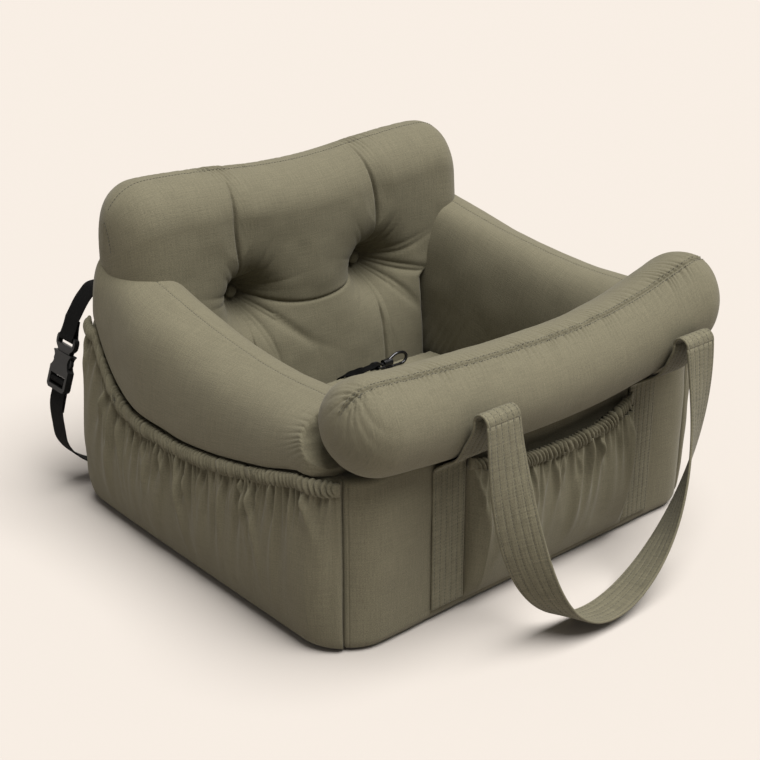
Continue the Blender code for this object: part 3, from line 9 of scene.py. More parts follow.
import bmesh
import bpy
import numpy as np
from bpy.props import FloatProperty, FloatVectorProperty, PointerProperty
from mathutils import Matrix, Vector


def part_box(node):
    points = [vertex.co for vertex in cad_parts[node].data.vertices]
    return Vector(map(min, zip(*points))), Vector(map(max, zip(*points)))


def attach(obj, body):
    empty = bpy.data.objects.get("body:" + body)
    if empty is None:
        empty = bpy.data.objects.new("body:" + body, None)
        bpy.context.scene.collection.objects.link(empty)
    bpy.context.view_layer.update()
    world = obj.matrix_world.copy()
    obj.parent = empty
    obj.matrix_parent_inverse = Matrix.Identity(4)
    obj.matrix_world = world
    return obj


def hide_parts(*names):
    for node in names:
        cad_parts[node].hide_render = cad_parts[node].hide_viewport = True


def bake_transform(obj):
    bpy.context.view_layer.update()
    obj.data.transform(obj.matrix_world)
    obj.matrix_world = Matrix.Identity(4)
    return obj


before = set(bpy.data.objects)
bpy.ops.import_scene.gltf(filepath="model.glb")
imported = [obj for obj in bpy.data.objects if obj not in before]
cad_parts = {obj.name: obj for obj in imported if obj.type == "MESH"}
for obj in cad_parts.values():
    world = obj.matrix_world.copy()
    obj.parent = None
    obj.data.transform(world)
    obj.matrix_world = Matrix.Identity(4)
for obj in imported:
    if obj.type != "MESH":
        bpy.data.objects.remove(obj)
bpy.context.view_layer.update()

bl_info = {
    "name": "Dog car seat",
    "version": (1, 0, 0),
    "blender": (4, 5, 0),
    "location": "View3D > Sidebar > Car Seat",
    "description": "Builds the cushions, cloth, webbing and hardware of a dog car seat",
    "category": "Object",
}


def extent(node):
    """Lowest and highest corner of a frame node."""
    low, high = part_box(node)
    return np.array(low), np.array(high)


# Sizes read from the frame
BOTTOM_TOP = extent("bottom_panel")[1][2]
HALF_WIDTH, HALF_DEPTH = extent("bottom_panel")[1][:2]
RIM_BACK = extent("back_panel")[1][2]
CUSHION_FOOT = extent("seat_cushion")[0][2]
SEAT_HEIGHT = extent("seat_cushion")[1][2]
SEAT_HALF = extent("seat_cushion")[1][0]
SEAT_FRONT, SEAT_BACK = extent("seat_cushion")[0][1], extent("seat_cushion")[1][1]
ARM_INNER_X = extent("right_arm_bolster")[0][0]
ARM_FRONT_Y, ARM_BACK_Y = extent("right_arm_bolster")[0][1], extent("right_arm_bolster")[1][1]
ROLL_LEFT, ROLL_RIGHT = extent("front_roll")[0][0], extent("front_roll")[1][0]
ROLL_BACK_Y = extent("front_roll")[1][1]
BACKREST_HALF = extent("backrest_cushion")[1][0]
BACKREST_TOP = extent("backrest_cushion")[1][2]
BUTTON_LOW, BUTTON_HIGH = extent("right_tuft_button")
FRONT_FOLD_LOW, FRONT_FOLD_HIGH = extent("front_left_fold")
FRONT_FOLD_RIGHT = extent("front_right_fold")[0][0]
BACK_FOLD_RIGHT = extent("back_right_fold")[0][0]

# Plan and walls
CORNER_RADIUS = 0.055
CLEARANCE = 0.0003
STRAIGHT_X = HALF_WIDTH - CORNER_RADIUS
STRAIGHT_Y = HALF_DEPTH - CORNER_RADIUS
CORNER_ARC = CORNER_RADIUS * pi / 4
WALL_DEPTH = 0.0252
INNER_INSET = 0.0256
WALL_EDGE = 0.012
WALL_TOP_ROUND = 0.006
WALL_LIFT = 0.0008
RIM_MIDDLE = 0.150
RIM_FRONT = 0.195
RIM_LOW_PLACE = 0.030
RIM_FRONT_POWER = 1.6
RIM_BACK_POWER = 4.5
SEAM_DEPTH = 0.0017
SEAM_HALF = 0.0011
TOPSTITCH_PLACE = 0.0058
PANEL_BELLY = 0.0045
WALL_LEAN = 0.010
SEAM_FINE = 0.012
SEAM_POINTS = 60
BELLY_ROUNDNESS = 0.6
PANEL_WAVES = ((0.028, 0.0005),)
BOTTOM_RINGS = (0.10, 0.06, 0.03)
BOTTOM_INSET = 0.0015
BOTTOM_TUCK = 0.004

# Arm bolsters
ARM_BULGE = 0.0125
ARM_FOOT_BULGE = 0.80
ARM_CREST_LOW = 0.254
ARM_CREST_BACK = 0.315
ARM_CREST_FRONT = 0.256
ARM_RIGHT_LIFT = 0.012
ARM_LOW_PLACE = -0.100
ARM_END_ROUND = 0.022
ARM_BACK_DRAW = 0.022
ARM_BACK_TAPER = 0.070
ARM_TUCK_GAP = 0.0012
ARM_ROUNDNESS = 2.3
ARM_BACK_ROUNDNESS = 3.2
ARM_SEAM_INSET = 0.046
ARM_END_EDGE = 0.012
ARM_END_HEIGHT = 0.90
ARM_END_SHRINK = 0.35
ARM_FOOT_ANGLE = pi / 4.8
ARM_SOFTENING = 30
ARM_TOPSTITCH = 0.0032
ARM_THREAD_START = 0.030
ARM_THREAD_END = 0.004
ARM_THREAD_LIFT = 0.0001
ARM_SEAM_GROOVE = 0.0007
ARM_SEAM_HALF = 0.0012
ARM_GATHER_PITCH = 0.0044
ARM_GATHER_REACH = 0.011
ARM_BACK_POWER = 1.5
ARM_WAVES = ((0.045, 0.0009), (0.021, 0.0003))
CRUMPLE_PITCH = 0.019
CRUMPLE_REACH = 0.030
CRUMPLE_HEIGHT = 0.0007
CRUMPLE_LEAN = 0.6
CRUMPLE_SIDE = 0.012
CRUMPLE_FADE = 0.01
ARM_SEAM_RISE = (0.012, 0.030)
ARM_GATHER_SIDE = (0.05, 0.08)

# Front roll
ROLL_RADIUS = 0.0506
ROLL_RIGHT_SWELL = 0.005
ROLL_MIDDLE_HEIGHT = 0.235
ROLL_LEFT_RISE = 0.020
ROLL_RIGHT_RISE = 0.049
ROLL_TIP_DRAW = 0.008
ROLL_END_LENGTH = 0.048
ROLL_SEAM_ANGLE = radians(107)
ROLL_CROWDING = 0.72
ROLL_TIP_SHARE = 0.06
ROLL_GATHER_PITCHES = (0.0062, 0.0068)
ROLL_GATHER_SHIFT = 0.0021
ROLL_GATHER_LEAN = 0.25
ROLL_GATHER_GAIN = 2.1
ROLL_GATHER_CHANGE = 0.35
ROLL_CHANGE_PITCH = 0.045
ROLL_GATHER_REACH = 0.0105
ROLL_REACH_CHANGE = 0.0060
ROLL_CREST_HALF = 0.0014
ROLL_GROOVE = 0.0024
ROLL_GROOVE_HALF = 0.0013
ROLL_TOPSTITCH = 0.0030
ROLL_END_RINGS = 12
ROLL_END_EDGE = 0.012
ROLL_WAVES = ((0.060, 0.0010), (0.022, 0.00035))
PINCH_INSET = 0.014
PINCH_RADIUS = 0.044
STAR_RADIUS = 0.010
STAR_PITCH = 0.0036
STAR_REACH = 0.020
STAR_EYE = 0.004
STAR_HEIGHT = 0.0026
DIMPLE_DEPTH = 0.003
DIMPLE_HALF = 0.007
THREAD_LIFT = 0.0002

# Backrest
BACKREST_DIP = 0.012
BACKREST_CORNER = 0.050
BACKREST_SEAM_Y = 0.186
BACKREST_BASE_SWELL = 0.078
BACKREST_TOP_SWELL = 0.054
BACKREST_BACK_SWELL = 0.0384
BACKREST_OVERHANG = 0.010
BACKREST_EDGE_ROUND = 0.050
BACKREST_SIDE_ROUND = 0.020
BACKREST_FOOT_ROUND = 0.016
BACKREST_SIDE_TUCK = 0.006
EAR_FOOT = 0.206
EAR_HEAD = 0.240
TUFT_X = (BUTTON_LOW[0] + BUTTON_HIGH[0]) / 2
TUFT_Z = (BUTTON_LOW[2] + BUTTON_HIGH[2]) / 2
TUFT_DEPTH = 0.056
TUFT_SEAT_HALF = 0.0115
TUFT_REACH = 0.024
CREASE_DEPTH = 0.015
CREASE_HALF = 0.011
CREASE_BOW = 0.010
CREASE_LEAN = 0.010
CREASE_SAG = 0.018
BUTTON_RADIUS = (BUTTON_HIGH[0] - BUTTON_LOW[0]) / 2
BUTTON_THICKNESS = BUTTON_HIGH[1] - BUTTON_LOW[1]
TUFT_FINE = 0.034
TUFT_STEEPNESS = 1.3
FUNNEL_BLEND = 0.35
CREASE_FOOT_FADE = 0.45
CREASE_TOP_FADE = 0.30
CREASE_VALLEY = 0.45
CREASE_SHARPNESS = 7
LINK_STRENGTH = 0.8
FOLD_BEND = 1.4
FOLD_START = 0.0007
FOLD_SPREAD = 0.022
FOLD_VALLEY = 0.45
FOLD_VALLEY_WIDTH = 2.6
FOLD_RUN_IN = (0.003, 0.014)
RING_RADIUS = 0.010
RING_PITCH = 0.0021
RING_HEIGHT = 0.16
RING_RUN_IN = (0.006, 0.012)
RING_REACH = 0.026
EDGE_GATHER_PITCH = 0.0062
EDGE_GATHER_REACH = 0.011
EDGE_GATHER_GAIN = 1.6
EDGE_GATHER_LEAN = 0.2
EDGE_GATHER_CHANGE = 0.4
EDGE_CHANGE_PITCH = 0.05
EDGE_BLEND = 0.006
SIDE_RUN_START = 0.4
SIDE_SEAM_SHIFT = 0.012
EAR_GATHER_RISE = 0.02
FOLD_SIDE_FADE = (0.006, 0.030)
CREASE_GATHER_PITCH = 0.0058
CREASE_GATHER_REACH = 0.026
CREASE_GATHER_HEIGHT = 0.0020
CREASE_GATHER_LEAN = 0.3
CREASE_GATHER_PLACE = 0.006
CREASE_GATHER_HALF = 0.020
BACK_GATHER_SHARE = 0.6
BACK_SLACK_SHARE = 0.4
BACKREST_SLACK_EDGE = 0.012
BACKREST_THREAD_END = 0.004
BACKREST_WAVES = ((0.050, 0.0016), (0.020, 0.0004))
BUTTON_PROFILE = (
    (0.0, -0.10), (0.70, -0.10), (0.93, 0.04), (1.0, 0.25), (0.98, 0.45), (0.90, 0.66), (0.74, 0.84),
    (0.50, 0.95), (0.25, 0.995), (0.06, 1.0),
)
BUTTON_PLEATS = 22
BUTTON_PLEAT = 0.018

# Seat cushion
SEAT_CROWN = 0.004
SEAT_EDGE = 0.012
SEAT_SINK = 0.0012
SEAT_GATHER_PITCH = 0.009
SEAT_GATHER_REACH = 0.014
SEAT_SLACK_EDGE = 0.01
SEAT_WAVES = ((0.060, 0.0014), (0.018, 0.0003))

# Pockets
POCKET_CLOTH = 0.0016
POCKET_FOOT = 0.0020
HEM_DROP = 0.0066
HEM_HALF_HEIGHT = 0.0072
HEM_HALF_THICKNESS = 0.0046
HEM_RIDGE = 0.0038
SIDE_HEM_OFFSET = 0.0082
SIDE_HEM_BACK_DRAW = 0.75
SIDE_POCKET_BULGE = 0.015
FRONT_HEM_MIDDLE = 0.157
FRONT_HEM_END = 0.174
FRONT_HEM_OFFSET = 0.019
FRONT_HEM_END_OFFSET = 0.0065
FRONT_POCKET_BULGE = 0.016
PLEAT_SHIFT = 0.42
PLEAT_HALVES = (0.0012, 0.0024)
PLEAT_STRENGTHS = (0.45, 1.0)
PLEAT_REACHES = (0.018, 0.085)
PLEAT_LEAN = 0.24
PLEAT_SPREAD = 0.030
PLEAT_FADE = 1.4
PLEAT_LEVEL = 0.35
PLEAT_FAN = 0.10
PLEAT_END = 0.012
PLEAT_FREE_SHARE = 0.3
POCKET_SWELL_POWER = 0.7
SIDE_PLEATS = 84
FRONT_PLEATS = 40
SIDE_POCKET_INSET = 0.0006
HEM_WALL_GAP = 0.0010
POCKET_END_SHARE = 16
POCKET_WAVES = ((0.030, 0.0010),)
POCKET_TUCK = 0.55
HEM_SPIRAL = 0.0026
HEM_WANDER = 0.0020
HEM_WANDER_PITCH = 0.011
HEM_SWELL_PITCH = 0.017
HEM_ROUNDNESS = 0.7
HEM_END_SHARE = 0.6
HEM_GATHER_PITCH = 0.0056
HEM_SWELL = 0.14
HEM_END = 0.014
HEM_STITCH_RISE = 0.0012

# Carrying handles
WEBBING_WIDTH = 0.045
WEBBING_THICKNESS = 0.003
FRONT_HANDLE_LEFT = (FRONT_FOLD_LOW[0] + FRONT_FOLD_HIGH[0]) / 2
FRONT_HANDLE_RIGHT = FRONT_FOLD_RIGHT + WEBBING_WIDTH / 2
FOLD_RADIUS = 0.009
FRONT_FOLD = (-0.316, 0.252)
FRONT_HANDLE_DROP = 0.245
FRONT_HANDLE_TILT = radians(8.5)
FRONT_HANDLE_SKEW = 0.030
BACK_HALF_SPAN = BACK_FOLD_RIGHT + WEBBING_WIDTH / 2
BACK_FOLD = (0.2608, 0.222)
BACK_HANDLE_DROP = 0.206
BACK_HANDLE_TILT = radians(4.0)
HANDLE_SAG_POWER = 0.9
HANDLE_TWIST_POWER = 1.2
STITCH_ROW_SHARES = (-0.86, -0.52, -0.18, 0.18, 0.52, 0.86)
STITCH_SIDES = 5
STITCH_DIP = 0.00045
STITCH_DIP_HALF = 0.045
WEBBING_RIBS = 13
WEBBING_SELVEDGE = 0.93
STRIP_FOOT = 0.0023
SIDEWAYS = np.array([[1.0, 0.0, 0.0]])
UNDER_ROLL_ANGLES = (radians(248), radians(222), radians(200))

# Seat strap, buckle and tether
STRAP_WIDTH = 0.030
STRAP_THICKNESS = 0.0015
STRAP_Y = 0.2675
ANCHOR_X = 0.200
ANCHOR_TOP = 0.219
ANCHOR_PATCH = 0.028
BUCKLE_PLACE = (-0.273, 0.1745)
BUCKLE_TILT = radians(18.7)
PLUG_LENGTH = 0.0205
PLUG_BAR = 0.0050
PLUG_BAR_THICKNESS = 0.0040
SOCKET_LENGTH = 0.047
LADDER_BAR_PLACE = -0.035
LADDER_END_PLACE = -0.0418
LADDER_BAR = 0.0040
BUCKLE_THICKNESS = 0.0088
STRAP_TAIL = 0.024
STRAP_RIBS = 0.00016
PATCH_POINTS = 24
PATCH_MARGIN = 0.0025
PATCH_STITCH_END = 0.003
PATCH_STITCH_SHARE = 0.8
BUCKLE_EDGE = 0.00025
TETHER_WIDTH = 0.012
TETHER_THICKNESS = 0.0012
SNAP_PLACE = (0.062, *(sum(extent("swivel_eye")) / 2)[1:])
EYE_FAR = -0.0125
EYE_ROD = 0.0016
TETHER_RIBS = 0.0001
CAST_EDGE = 0.00012
HOOK_EDGE = 0.00018

# Photograph's camera, in pixels of the 760 pixel frame where it says so
FRAME_PIXELS = 760
FOCAL_PIXELS = 1481.0
CAMERA_PLACE = (-1.0514, -1.2114, 0.8504)
CAMERA_PITCH = radians(23.61)
CAMERA_HEADING = radians(-40.7)
SENSOR = 36.0
FLOOR_REACH = 12.0
SUN_STRENGTH = 6.56
SUN_ANGLE = radians(48)
SUN_COLOUR = (1.0, 0.985, 0.965)
SUN_TURN = (radians(18), radians(6), 0.0)
SKY_COLOUR = (1.0, 0.955, 0.905, 1.0)
SKY_LIGHT = 0.25
SKY_SEEN = 0.72


def metres(name, description, default):
    """A length that the sidebar offers."""
    return FloatProperty(name=name, description=description, default=default, unit="LENGTH",
                         precision=5)


def rgb(name, description, default):
    """A colour that the sidebar offers."""
    return FloatVectorProperty(name=name, description=description, default=default,
                               subtype="COLOR", size=3, min=0.0, max=1.0)


class CarSeatSizes(bpy.types.PropertyGroup):
    """Sizes of the finish"""

    weave_pitch: metres("Thread pitch", "Distance between two threads of the cover cloth", 0.0009)
    pleat_height: metres("Pleat height", "How far the pocket's gathers stand out below the hem", 0.0092)
    gather_height: metres("Gather height", "Height of the small gathers along the seams", 0.0013)
    fold_height: metres("Tuft fold height", "Height of the folds round the backrest's buttons", 0.0050)
    stitch_pitch: metres("Stitch pitch", "Distance from one stitch to the next", 0.0042)
    stitch_length: metres("Stitch length", "Length of the thread that shows", 0.0029)
    thread_width: metres("Thread width", "Thickness of the sewing thread", 0.0009)


class CarSeatColours(bpy.types.PropertyGroup):
    """Colours of the finish"""

    cover: rgb("Cover", "Cloth of the cushions and walls", (0.119, 0.108, 0.071))
    webbing: rgb("Handles", "Webbing of the carrying handles", (0.116, 0.106, 0.070))
    thread: rgb("Thread", "Sewing thread on the cover", (0.036, 0.033, 0.022))
    grip: rgb("Underside", "Coated cloth under the seat", (0.046, 0.042, 0.033))
    black_web: rgb("Strap", "Webbing of the seat strap and tether", (0.0024, 0.0024, 0.0024))
    plastic: rgb("Buckle", "Moulded plastic of the buckle", (0.006, 0.006, 0.006))
    metal: rgb("Snap", "Black plated metal of the snap", (0.030, 0.030, 0.032))
    foam: rgb("Foam", "Foam inside the cover", (0.055, 0.052, 0.046))
    floor: rgb("Floor", "Floor and backdrop", (0.424, 0.394, 0.366))


# Curves, waves and outlines

NOISE_KNOTS = 1024
NET_KNOTS = 64
ROUTE_STEPS = 24
GATHER_WANDER = 0.9
GATHER_WANDER_PITCHES = 2.3
GATHER_ROUNDNESS = 0.8
GATHER_CHANGE = 0.3
GATHER_CHANGE_PITCHES = 3.1


def eased(share):
    """An S curve from 0 to 1, level at both ends."""
    return share * share * (3 - 2 * share)


def smooth_noise(at, pitch, seed):
    """An irregular smooth wave from -1 to 1: random heights every pitch, joined by S curves."""
    heights = np.random.default_rng(seed).uniform(-1, 1, NOISE_KNOTS)
    steps = np.asarray(at, float) / pitch
    low = np.floor(steps).astype(int)
    share = eased(steps - low)
    return heights[low % NOISE_KNOTS] * (1 - share) + heights[(low + 1) % NOISE_KNOTS] * share


def soft_noise(u, v, pitch, seed):
    """The same wave over a surface: random heights on a square net, joined by S curves."""
    heights = np.random.default_rng(seed).uniform(-1, 1, (NET_KNOTS, NET_KNOTS))
    rows, columns = np.floor(u / pitch), np.floor(v / pitch)
    down, over = eased(u / pitch - rows), eased(v / pitch - columns)
    row, column = rows.astype(int) % NET_KNOTS, columns.astype(int) % NET_KNOTS
    after, beside = (row + 1) % NET_KNOTS, (column + 1) % NET_KNOTS
    near = heights[row, column] * (1 - over) + heights[row, beside] * over
    far = heights[after, column] * (1 - over) + heights[after, beside] * over
    return near * (1 - down) + far * down


def slack(u, v, waves, seed):
    """Uneven filling under loose cloth: soft waves, given as pairs of pitch and height."""
    return sum(soft_noise(u, v, pitch, seed + 2 * number) * height
               for number, (pitch, height) in enumerate(waves))


def gathers(run, pitch, seed):
    """Cloth drawn up on a thread, from -1 to 1: rounded ridges with sharp valleys between them,
    the size of |sin|, whose phase wanders so that no two are alike."""
    phase = pi * (run / pitch + GATHER_WANDER * smooth_noise(run, GATHER_WANDER_PITCHES * pitch, seed))
    ridge = 2 * np.abs(np.sin(phase)) ** GATHER_ROUNDNESS - 1
    change = GATHER_CHANGE * smooth_noise(run, GATHER_CHANGE_PITCHES * pitch, seed + 1)
    return ridge * (1 - GATHER_CHANGE + change)


def rounding(distance, radius):
    """0 at an edge and 1 from the radius inwards, along a quarter circle."""
    inwards = np.clip(np.asarray(distance, float) / radius, 0, 1)
    return np.sqrt(1 - (1 - inwards) ** 2)


def bell(distance, half):
    """1 at no distance, 1/e at half, and next to nothing at twice that."""
    return np.exp(-(np.asarray(distance) / half) ** 2)


def s_curve(value, low, high):
    """0 up to low and 1 from high, with an S curve between them."""
    return eased(np.clip((np.asarray(value, float) - low) / (high - low), 0, 1))


def spaced(*stops):
    """Grid lines: even steps between each pair of stops, given as place, count, place..."""
    lines = [np.array([stops[0]])]
    for at in range(1, len(stops), 2):
        lines.append(np.linspace(lines[-1][-1], stops[at + 1], stops[at] + 1)[1:])
    return np.concatenate(lines)


def edge_lines(low, high, low_round, high_round, edge_count, count):
    """Grid lines that crowd towards both ends, so that a quarter circle there gets even steps."""
    turn = np.linspace(0, pi / 2, edge_count + 1)
    first = low + low_round * (1 - np.cos(turn))
    last = high - high_round * (1 - np.cos(turn[::-1]))
    middle = np.linspace(first[-1], last[0], count + 1)[1:-1]
    return np.concatenate([first, middle, last])


def running(steps):
    """Running total of some steps, from 0."""
    return np.concatenate([[0], np.cumsum(steps)])


def unit(vectors):
    """Vectors of length 1 in the same directions."""
    return vectors / np.linalg.norm(vectors, axis=1)[:, None]


def arc_length(path):
    """Length of a line up to each of its points."""
    return running(np.linalg.norm(np.diff(path, axis=0), axis=1))


def read_again(path, count):
    """A line read at even steps of its length; columns past the third go with it."""
    run = arc_length(path[:, :3])
    at = np.linspace(0, run[-1], count)
    return np.column_stack([np.interp(at, run, column) for column in path.T])


def smooth_route(points, count):
    """A smooth curve through the given points, read again at equal steps of length. Each span
    is a cubic whose end slopes are the length-weighted means of the spans beside them."""
    points = np.asarray(points, float)
    steps = np.diff(points, axis=0)
    spans = np.linalg.norm(steps[:, :3], axis=1)[:, None]
    slopes = steps / spans
    inner = (slopes[:-1] * spans[1:] + slopes[1:] * spans[:-1]) / (spans[:-1] + spans[1:])
    tangents = np.vstack([slopes[:1], inner, slopes[-1:]])
    t = np.linspace(0, 1, ROUTE_STEPS, endpoint=False)[None, :, None]
    start, end = points[:-1, None], points[1:, None]
    lead, trail = (tangents[:-1] * spans)[:, None], (tangents[1:] * spans)[:, None]
    fine = (start * (1 - t) ** 2 * (1 + 2 * t) + end * t**2 * (3 - 2 * t)
            + lead * t * (1 - t) ** 2 - trail * t**2 * (1 - t))
    fine = np.vstack([fine.reshape(-1, points.shape[1]), points[-1:]])
    return read_again(fine, count)


def softened(rings, passes):
    """Closed outlines with their corners rounded by repeated averaging of neighbours."""
    for _ in range(passes):
        rings = (np.roll(rings, 1, axis=1) + 2 * rings + np.roll(rings, -1, axis=1)) / 4
    return rings


# Meshes

MERGE_DISTANCE = 1e-5
FLAT_ANGLE = radians(1.0)
SHARP_ANGLE = radians(38)
STITCH_TIP = 0.45


def grid_normals(points, wrap):
    """Unit normals of a grid, from the cross product of its two directions."""
    if wrap:
        points = np.concatenate([points[:, -1:], points, points[:, :1]], axis=1)
    normals = np.cross(np.gradient(points, axis=1), np.gradient(points, axis=0))
    normals /= np.maximum(np.linalg.norm(normals, axis=-1, keepdims=True), 1e-12)
    return normals[:, 1:-1] if wrap else normals


def outward(points):
    """Grid normals turned away from the middle of each row's ring."""
    normals = grid_normals(points, True)
    centre = points.mean(axis=1, keepdims=True)
    return normals * np.sign(((points - centre) * normals).sum(-1).mean())


def new_object(name, data):
    """An object in the scene's own collection."""
    made = bpy.data.objects.new(name, data)
    bpy.context.scene.collection.objects.link(made)
    return made


def write_mesh(name, points, faces, corner_uv):
    """A mesh object from arrays, with its faces turned outwards by the sign of its volume."""
    a, b, c = (points[[face[k] for face in faces]] for k in (0, 1, 2))
    d = points[[face[-1] for face in faces]]
    volume = (a * np.cross(b, c)).sum() + (a * np.cross(c, d)).sum()
    if volume < 0:
        faces = [face[::-1] for face in faces]
        corner_uv = [uv[::-1] for uv in corner_uv]
    mesh = bpy.data.meshes.new(name)
    mesh.from_pydata(points.tolist(), [], faces)
    layer = mesh.uv_layers.new(name="UVMap")
    flat = np.array([pair for uv in corner_uv for pair in uv], np.float32)
    layer.uv.foreach_set("vector", flat.ravel())
    mesh.shade_smooth()
    return new_object(name, mesh)


def ring_uv(points):
    """A UV map in metres: along the rings, and round each ring from its first point."""
    closed = np.concatenate([points, points[:, :1]], axis=1)
    around = np.linalg.norm(np.diff(closed, axis=1), axis=-1)
    around = np.concatenate([np.zeros((len(points), 1)), np.cumsum(around, axis=1)], axis=1)
    along = running(np.linalg.norm(np.diff(points, axis=0), axis=-1).mean(axis=1))
    return np.stack([np.broadcast_to(along[:, None], around.shape), around], axis=-1)


def loft(name, rings, uv=None):
    """A closed body from rings of points, with a fan of triangles over each end."""
    rows, columns = rings.shape[:2]
    uv = ring_uv(rings) if uv is None else uv
    r, c = [index.ravel() for index in np.mgrid[0:rows - 1, 0:columns]]
    after = (c + 1) % columns
    quads = np.stack([r * columns + c, r * columns + after,
                      (r + 1) * columns + after, (r + 1) * columns + c], axis=1)
    wide = columns + 1
    quad_at = np.stack([r * wide + c, r * wide + c + 1, (r + 1) * wide + c + 1,
                        (r + 1) * wide + c], axis=1)
    flat_uv = uv.reshape(-1, 2)
    poles = rows * columns + np.arange(2)
    at = np.arange(columns)
    turn = (at + 1) % columns
    last = (rows - 1) * columns
    fans = [np.stack([turn, at, np.full(columns, poles[0])], axis=1),
            np.stack([last + at, last + turn, np.full(columns, poles[1])], axis=1)]
    ends = np.stack([rings[0].mean(axis=0), rings[-1].mean(axis=0)])
    points = np.vstack([rings.reshape(-1, 3), ends])
    end_uv = []
    for row, order in ((0, (1, 0)), (rows - 1, (0, 1))):
        pair = [uv[row, at + k] for k in order]
        middle = np.broadcast_to(uv[row].mean(axis=0), (columns, 2))
        end_uv.append(np.stack([*pair, middle], axis=1))
    faces = quads.tolist() + fans[0].tolist() + fans[1].tolist()
    corner_uv = flat_uv[quad_at].tolist() + end_uv[0].tolist() + end_uv[1].tolist()
    return write_mesh(name, points, faces, corner_uv)


def pillow(name, front, back):
    """A closed cushion from two grids of points with the same outer edge."""
    rows, columns = front.shape[:2]
    first = np.arange(rows * columns).reshape(rows, columns)
    second = first.copy()
    inner = (rows - 2) * (columns - 2)
    second[1:-1, 1:-1] = np.arange(inner).reshape(rows - 2, columns - 2) + rows * columns
    points = np.vstack([front.reshape(-1, 3), back[1:-1, 1:-1].reshape(-1, 3)])
    faces, corner_uv = [], []
    for sheet, grid, order in ((first, front, 1), (second, back, -1)):
        right = np.linalg.norm(np.diff(grid, axis=1), axis=-1).mean(axis=0)
        up = np.linalg.norm(np.diff(grid, axis=0), axis=-1).mean(axis=1)
        u, v = np.meshgrid(running(right), running(up))
        uv = np.stack([u, v], axis=-1)
        for table, found in ((sheet, faces), (uv, corner_uv)):
            quads = np.stack([table[:-1, :-1], table[:-1, 1:], table[1:, 1:], table[1:, :-1]], axis=2)
            quads = quads.reshape(-1, 4, *table.shape[2:])[:, ::order]
            found += quads.tolist()
    return write_mesh(name, points, faces, corner_uv)


def refined(node, name, edge):
    """A merged copy of a rigid frame node with its corners softened, which stands for it."""
    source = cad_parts[node].data
    work = bmesh.new()
    work.from_mesh(source)
    bmesh.ops.remove_doubles(work, verts=work.verts, dist=MERGE_DISTANCE)
    bmesh.ops.dissolve_limit(work, angle_limit=FLAT_ANGLE, verts=work.verts, edges=work.edges)
    points = [tuple(vertex.co) for vertex in work.verts]
    faces = [[vertex.index for vertex in face.verts] for face in work.faces]
    work.free()
    mesh = bpy.data.meshes.new(name)
    mesh.from_pydata(points, [], faces)
    mesh.shade_smooth()
    mesh.set_sharp_from_angle(angle=SHARP_ANGLE)
    made = new_object(name, mesh)
    bevel = made.modifiers.new("edge", "BEVEL")
    bevel.width = edge
    bevel.segments = 2
    bevel.limit_method = "ANGLE"
    bevel.angle_limit = SHARP_ANGLE
    bevel.harden_normals = True
    return made


def finish_piece(piece, material, body=None, nodes=(), across=None):
    """Material, body and the frame nodes that a piece stands for. across, when given, is a pair of bodies and
    a pair of points; the piece then goes on no body, its placing baked into its mesh."""
    piece.data.materials.append(material)
    if across:
        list(across[0])
        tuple(across[1])
        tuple(across[2])
        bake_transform(piece)
    else:
        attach(piece, body)
    if nodes:
        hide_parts(*nodes)


def stitch_bars(name, lines, sizes, pitch_share=1.0):
    """Sewing thread: short six-sided spindles laid along each line at the stitch pitch. A line
    is a pair of arrays, its points and the outward direction at each."""
    centres, forwards, outwards = [], [], []
    pitch = sizes.stitch_pitch * pitch_share
    for points, out in lines:
        run = arc_length(points)
        at = np.arange(pitch / 2, run[-1], pitch)
        both = np.hstack([points, out])
        here = np.column_stack([np.interp(at, run, column) for column in both.T])
        reach = pitch / 4
        ahead, behind = [np.column_stack([np.interp(at + step, run, column) for column in points.T])
                         for step in (reach, -reach)]
        centres.append(here[:, :3])
        forwards.append(ahead - behind)
        outwards.append(here[:, 3:])
    centre, forward, out = np.vstack(centres), np.vstack(forwards), np.vstack(outwards)
    forward = unit(forward)
    side = unit(np.cross(forward, out))
    out = np.cross(side, forward)
    length_shares = np.array([-0.5, 0.0, 0.5])
    girth_shares = np.array([STITCH_TIP, 1.0, STITCH_TIP])
    turn = np.arange(STITCH_SIDES) / STITCH_SIDES * 2 * pi
    along = (length_shares[:, None] * np.ones(STITCH_SIDES)) * sizes.stitch_length * pitch_share
    wide = girth_shares[:, None] * np.cos(turn) * sizes.thread_width / 2
    high = girth_shares[:, None] * np.sin(turn) * sizes.thread_width / 2
    points = (centre[:, None, None] + along[..., None] * forward[:, None, None]
              + wide[..., None] * side[:, None, None] + high[..., None] * out[:, None, None])
    r, c = [index.ravel() for index in np.mgrid[0:2, 0:STITCH_SIDES]]
    here, after = r * STITCH_SIDES + c, r * STITCH_SIDES + (c + 1) % STITCH_SIDES
    spindle = np.stack([here, after, after + STITCH_SIDES, here + STITCH_SIDES], axis=1)
    shift = np.arange(len(centre))[:, None, None] * 3 * STITCH_SIDES
    quads = (spindle + shift).reshape(-1, 4).tolist()
    rim = np.arange(STITCH_SIDES)
    caps = np.stack([rim[::-1], rim + 2 * STITCH_SIDES])
    faces = quads + (caps + shift).reshape(-1, STITCH_SIDES).tolist()
    uv = [[(0.0, 0.0)] * len(face) for face in faces]
    return write_mesh(name, points.reshape(-1, 3), faces, uv)


def upholster(piece, nodes):
    """The cushions' cloth on a piece of the seat that stands for some nodes."""
    finish_piece(piece, cover_cloth(), "seat", nodes)


def sew(name, lines, sizes):
    """Rows of thread on the seat's cover."""
    finish_piece(stitch_bars(name, lines, sizes), cover_thread(), "seat")


# Materials

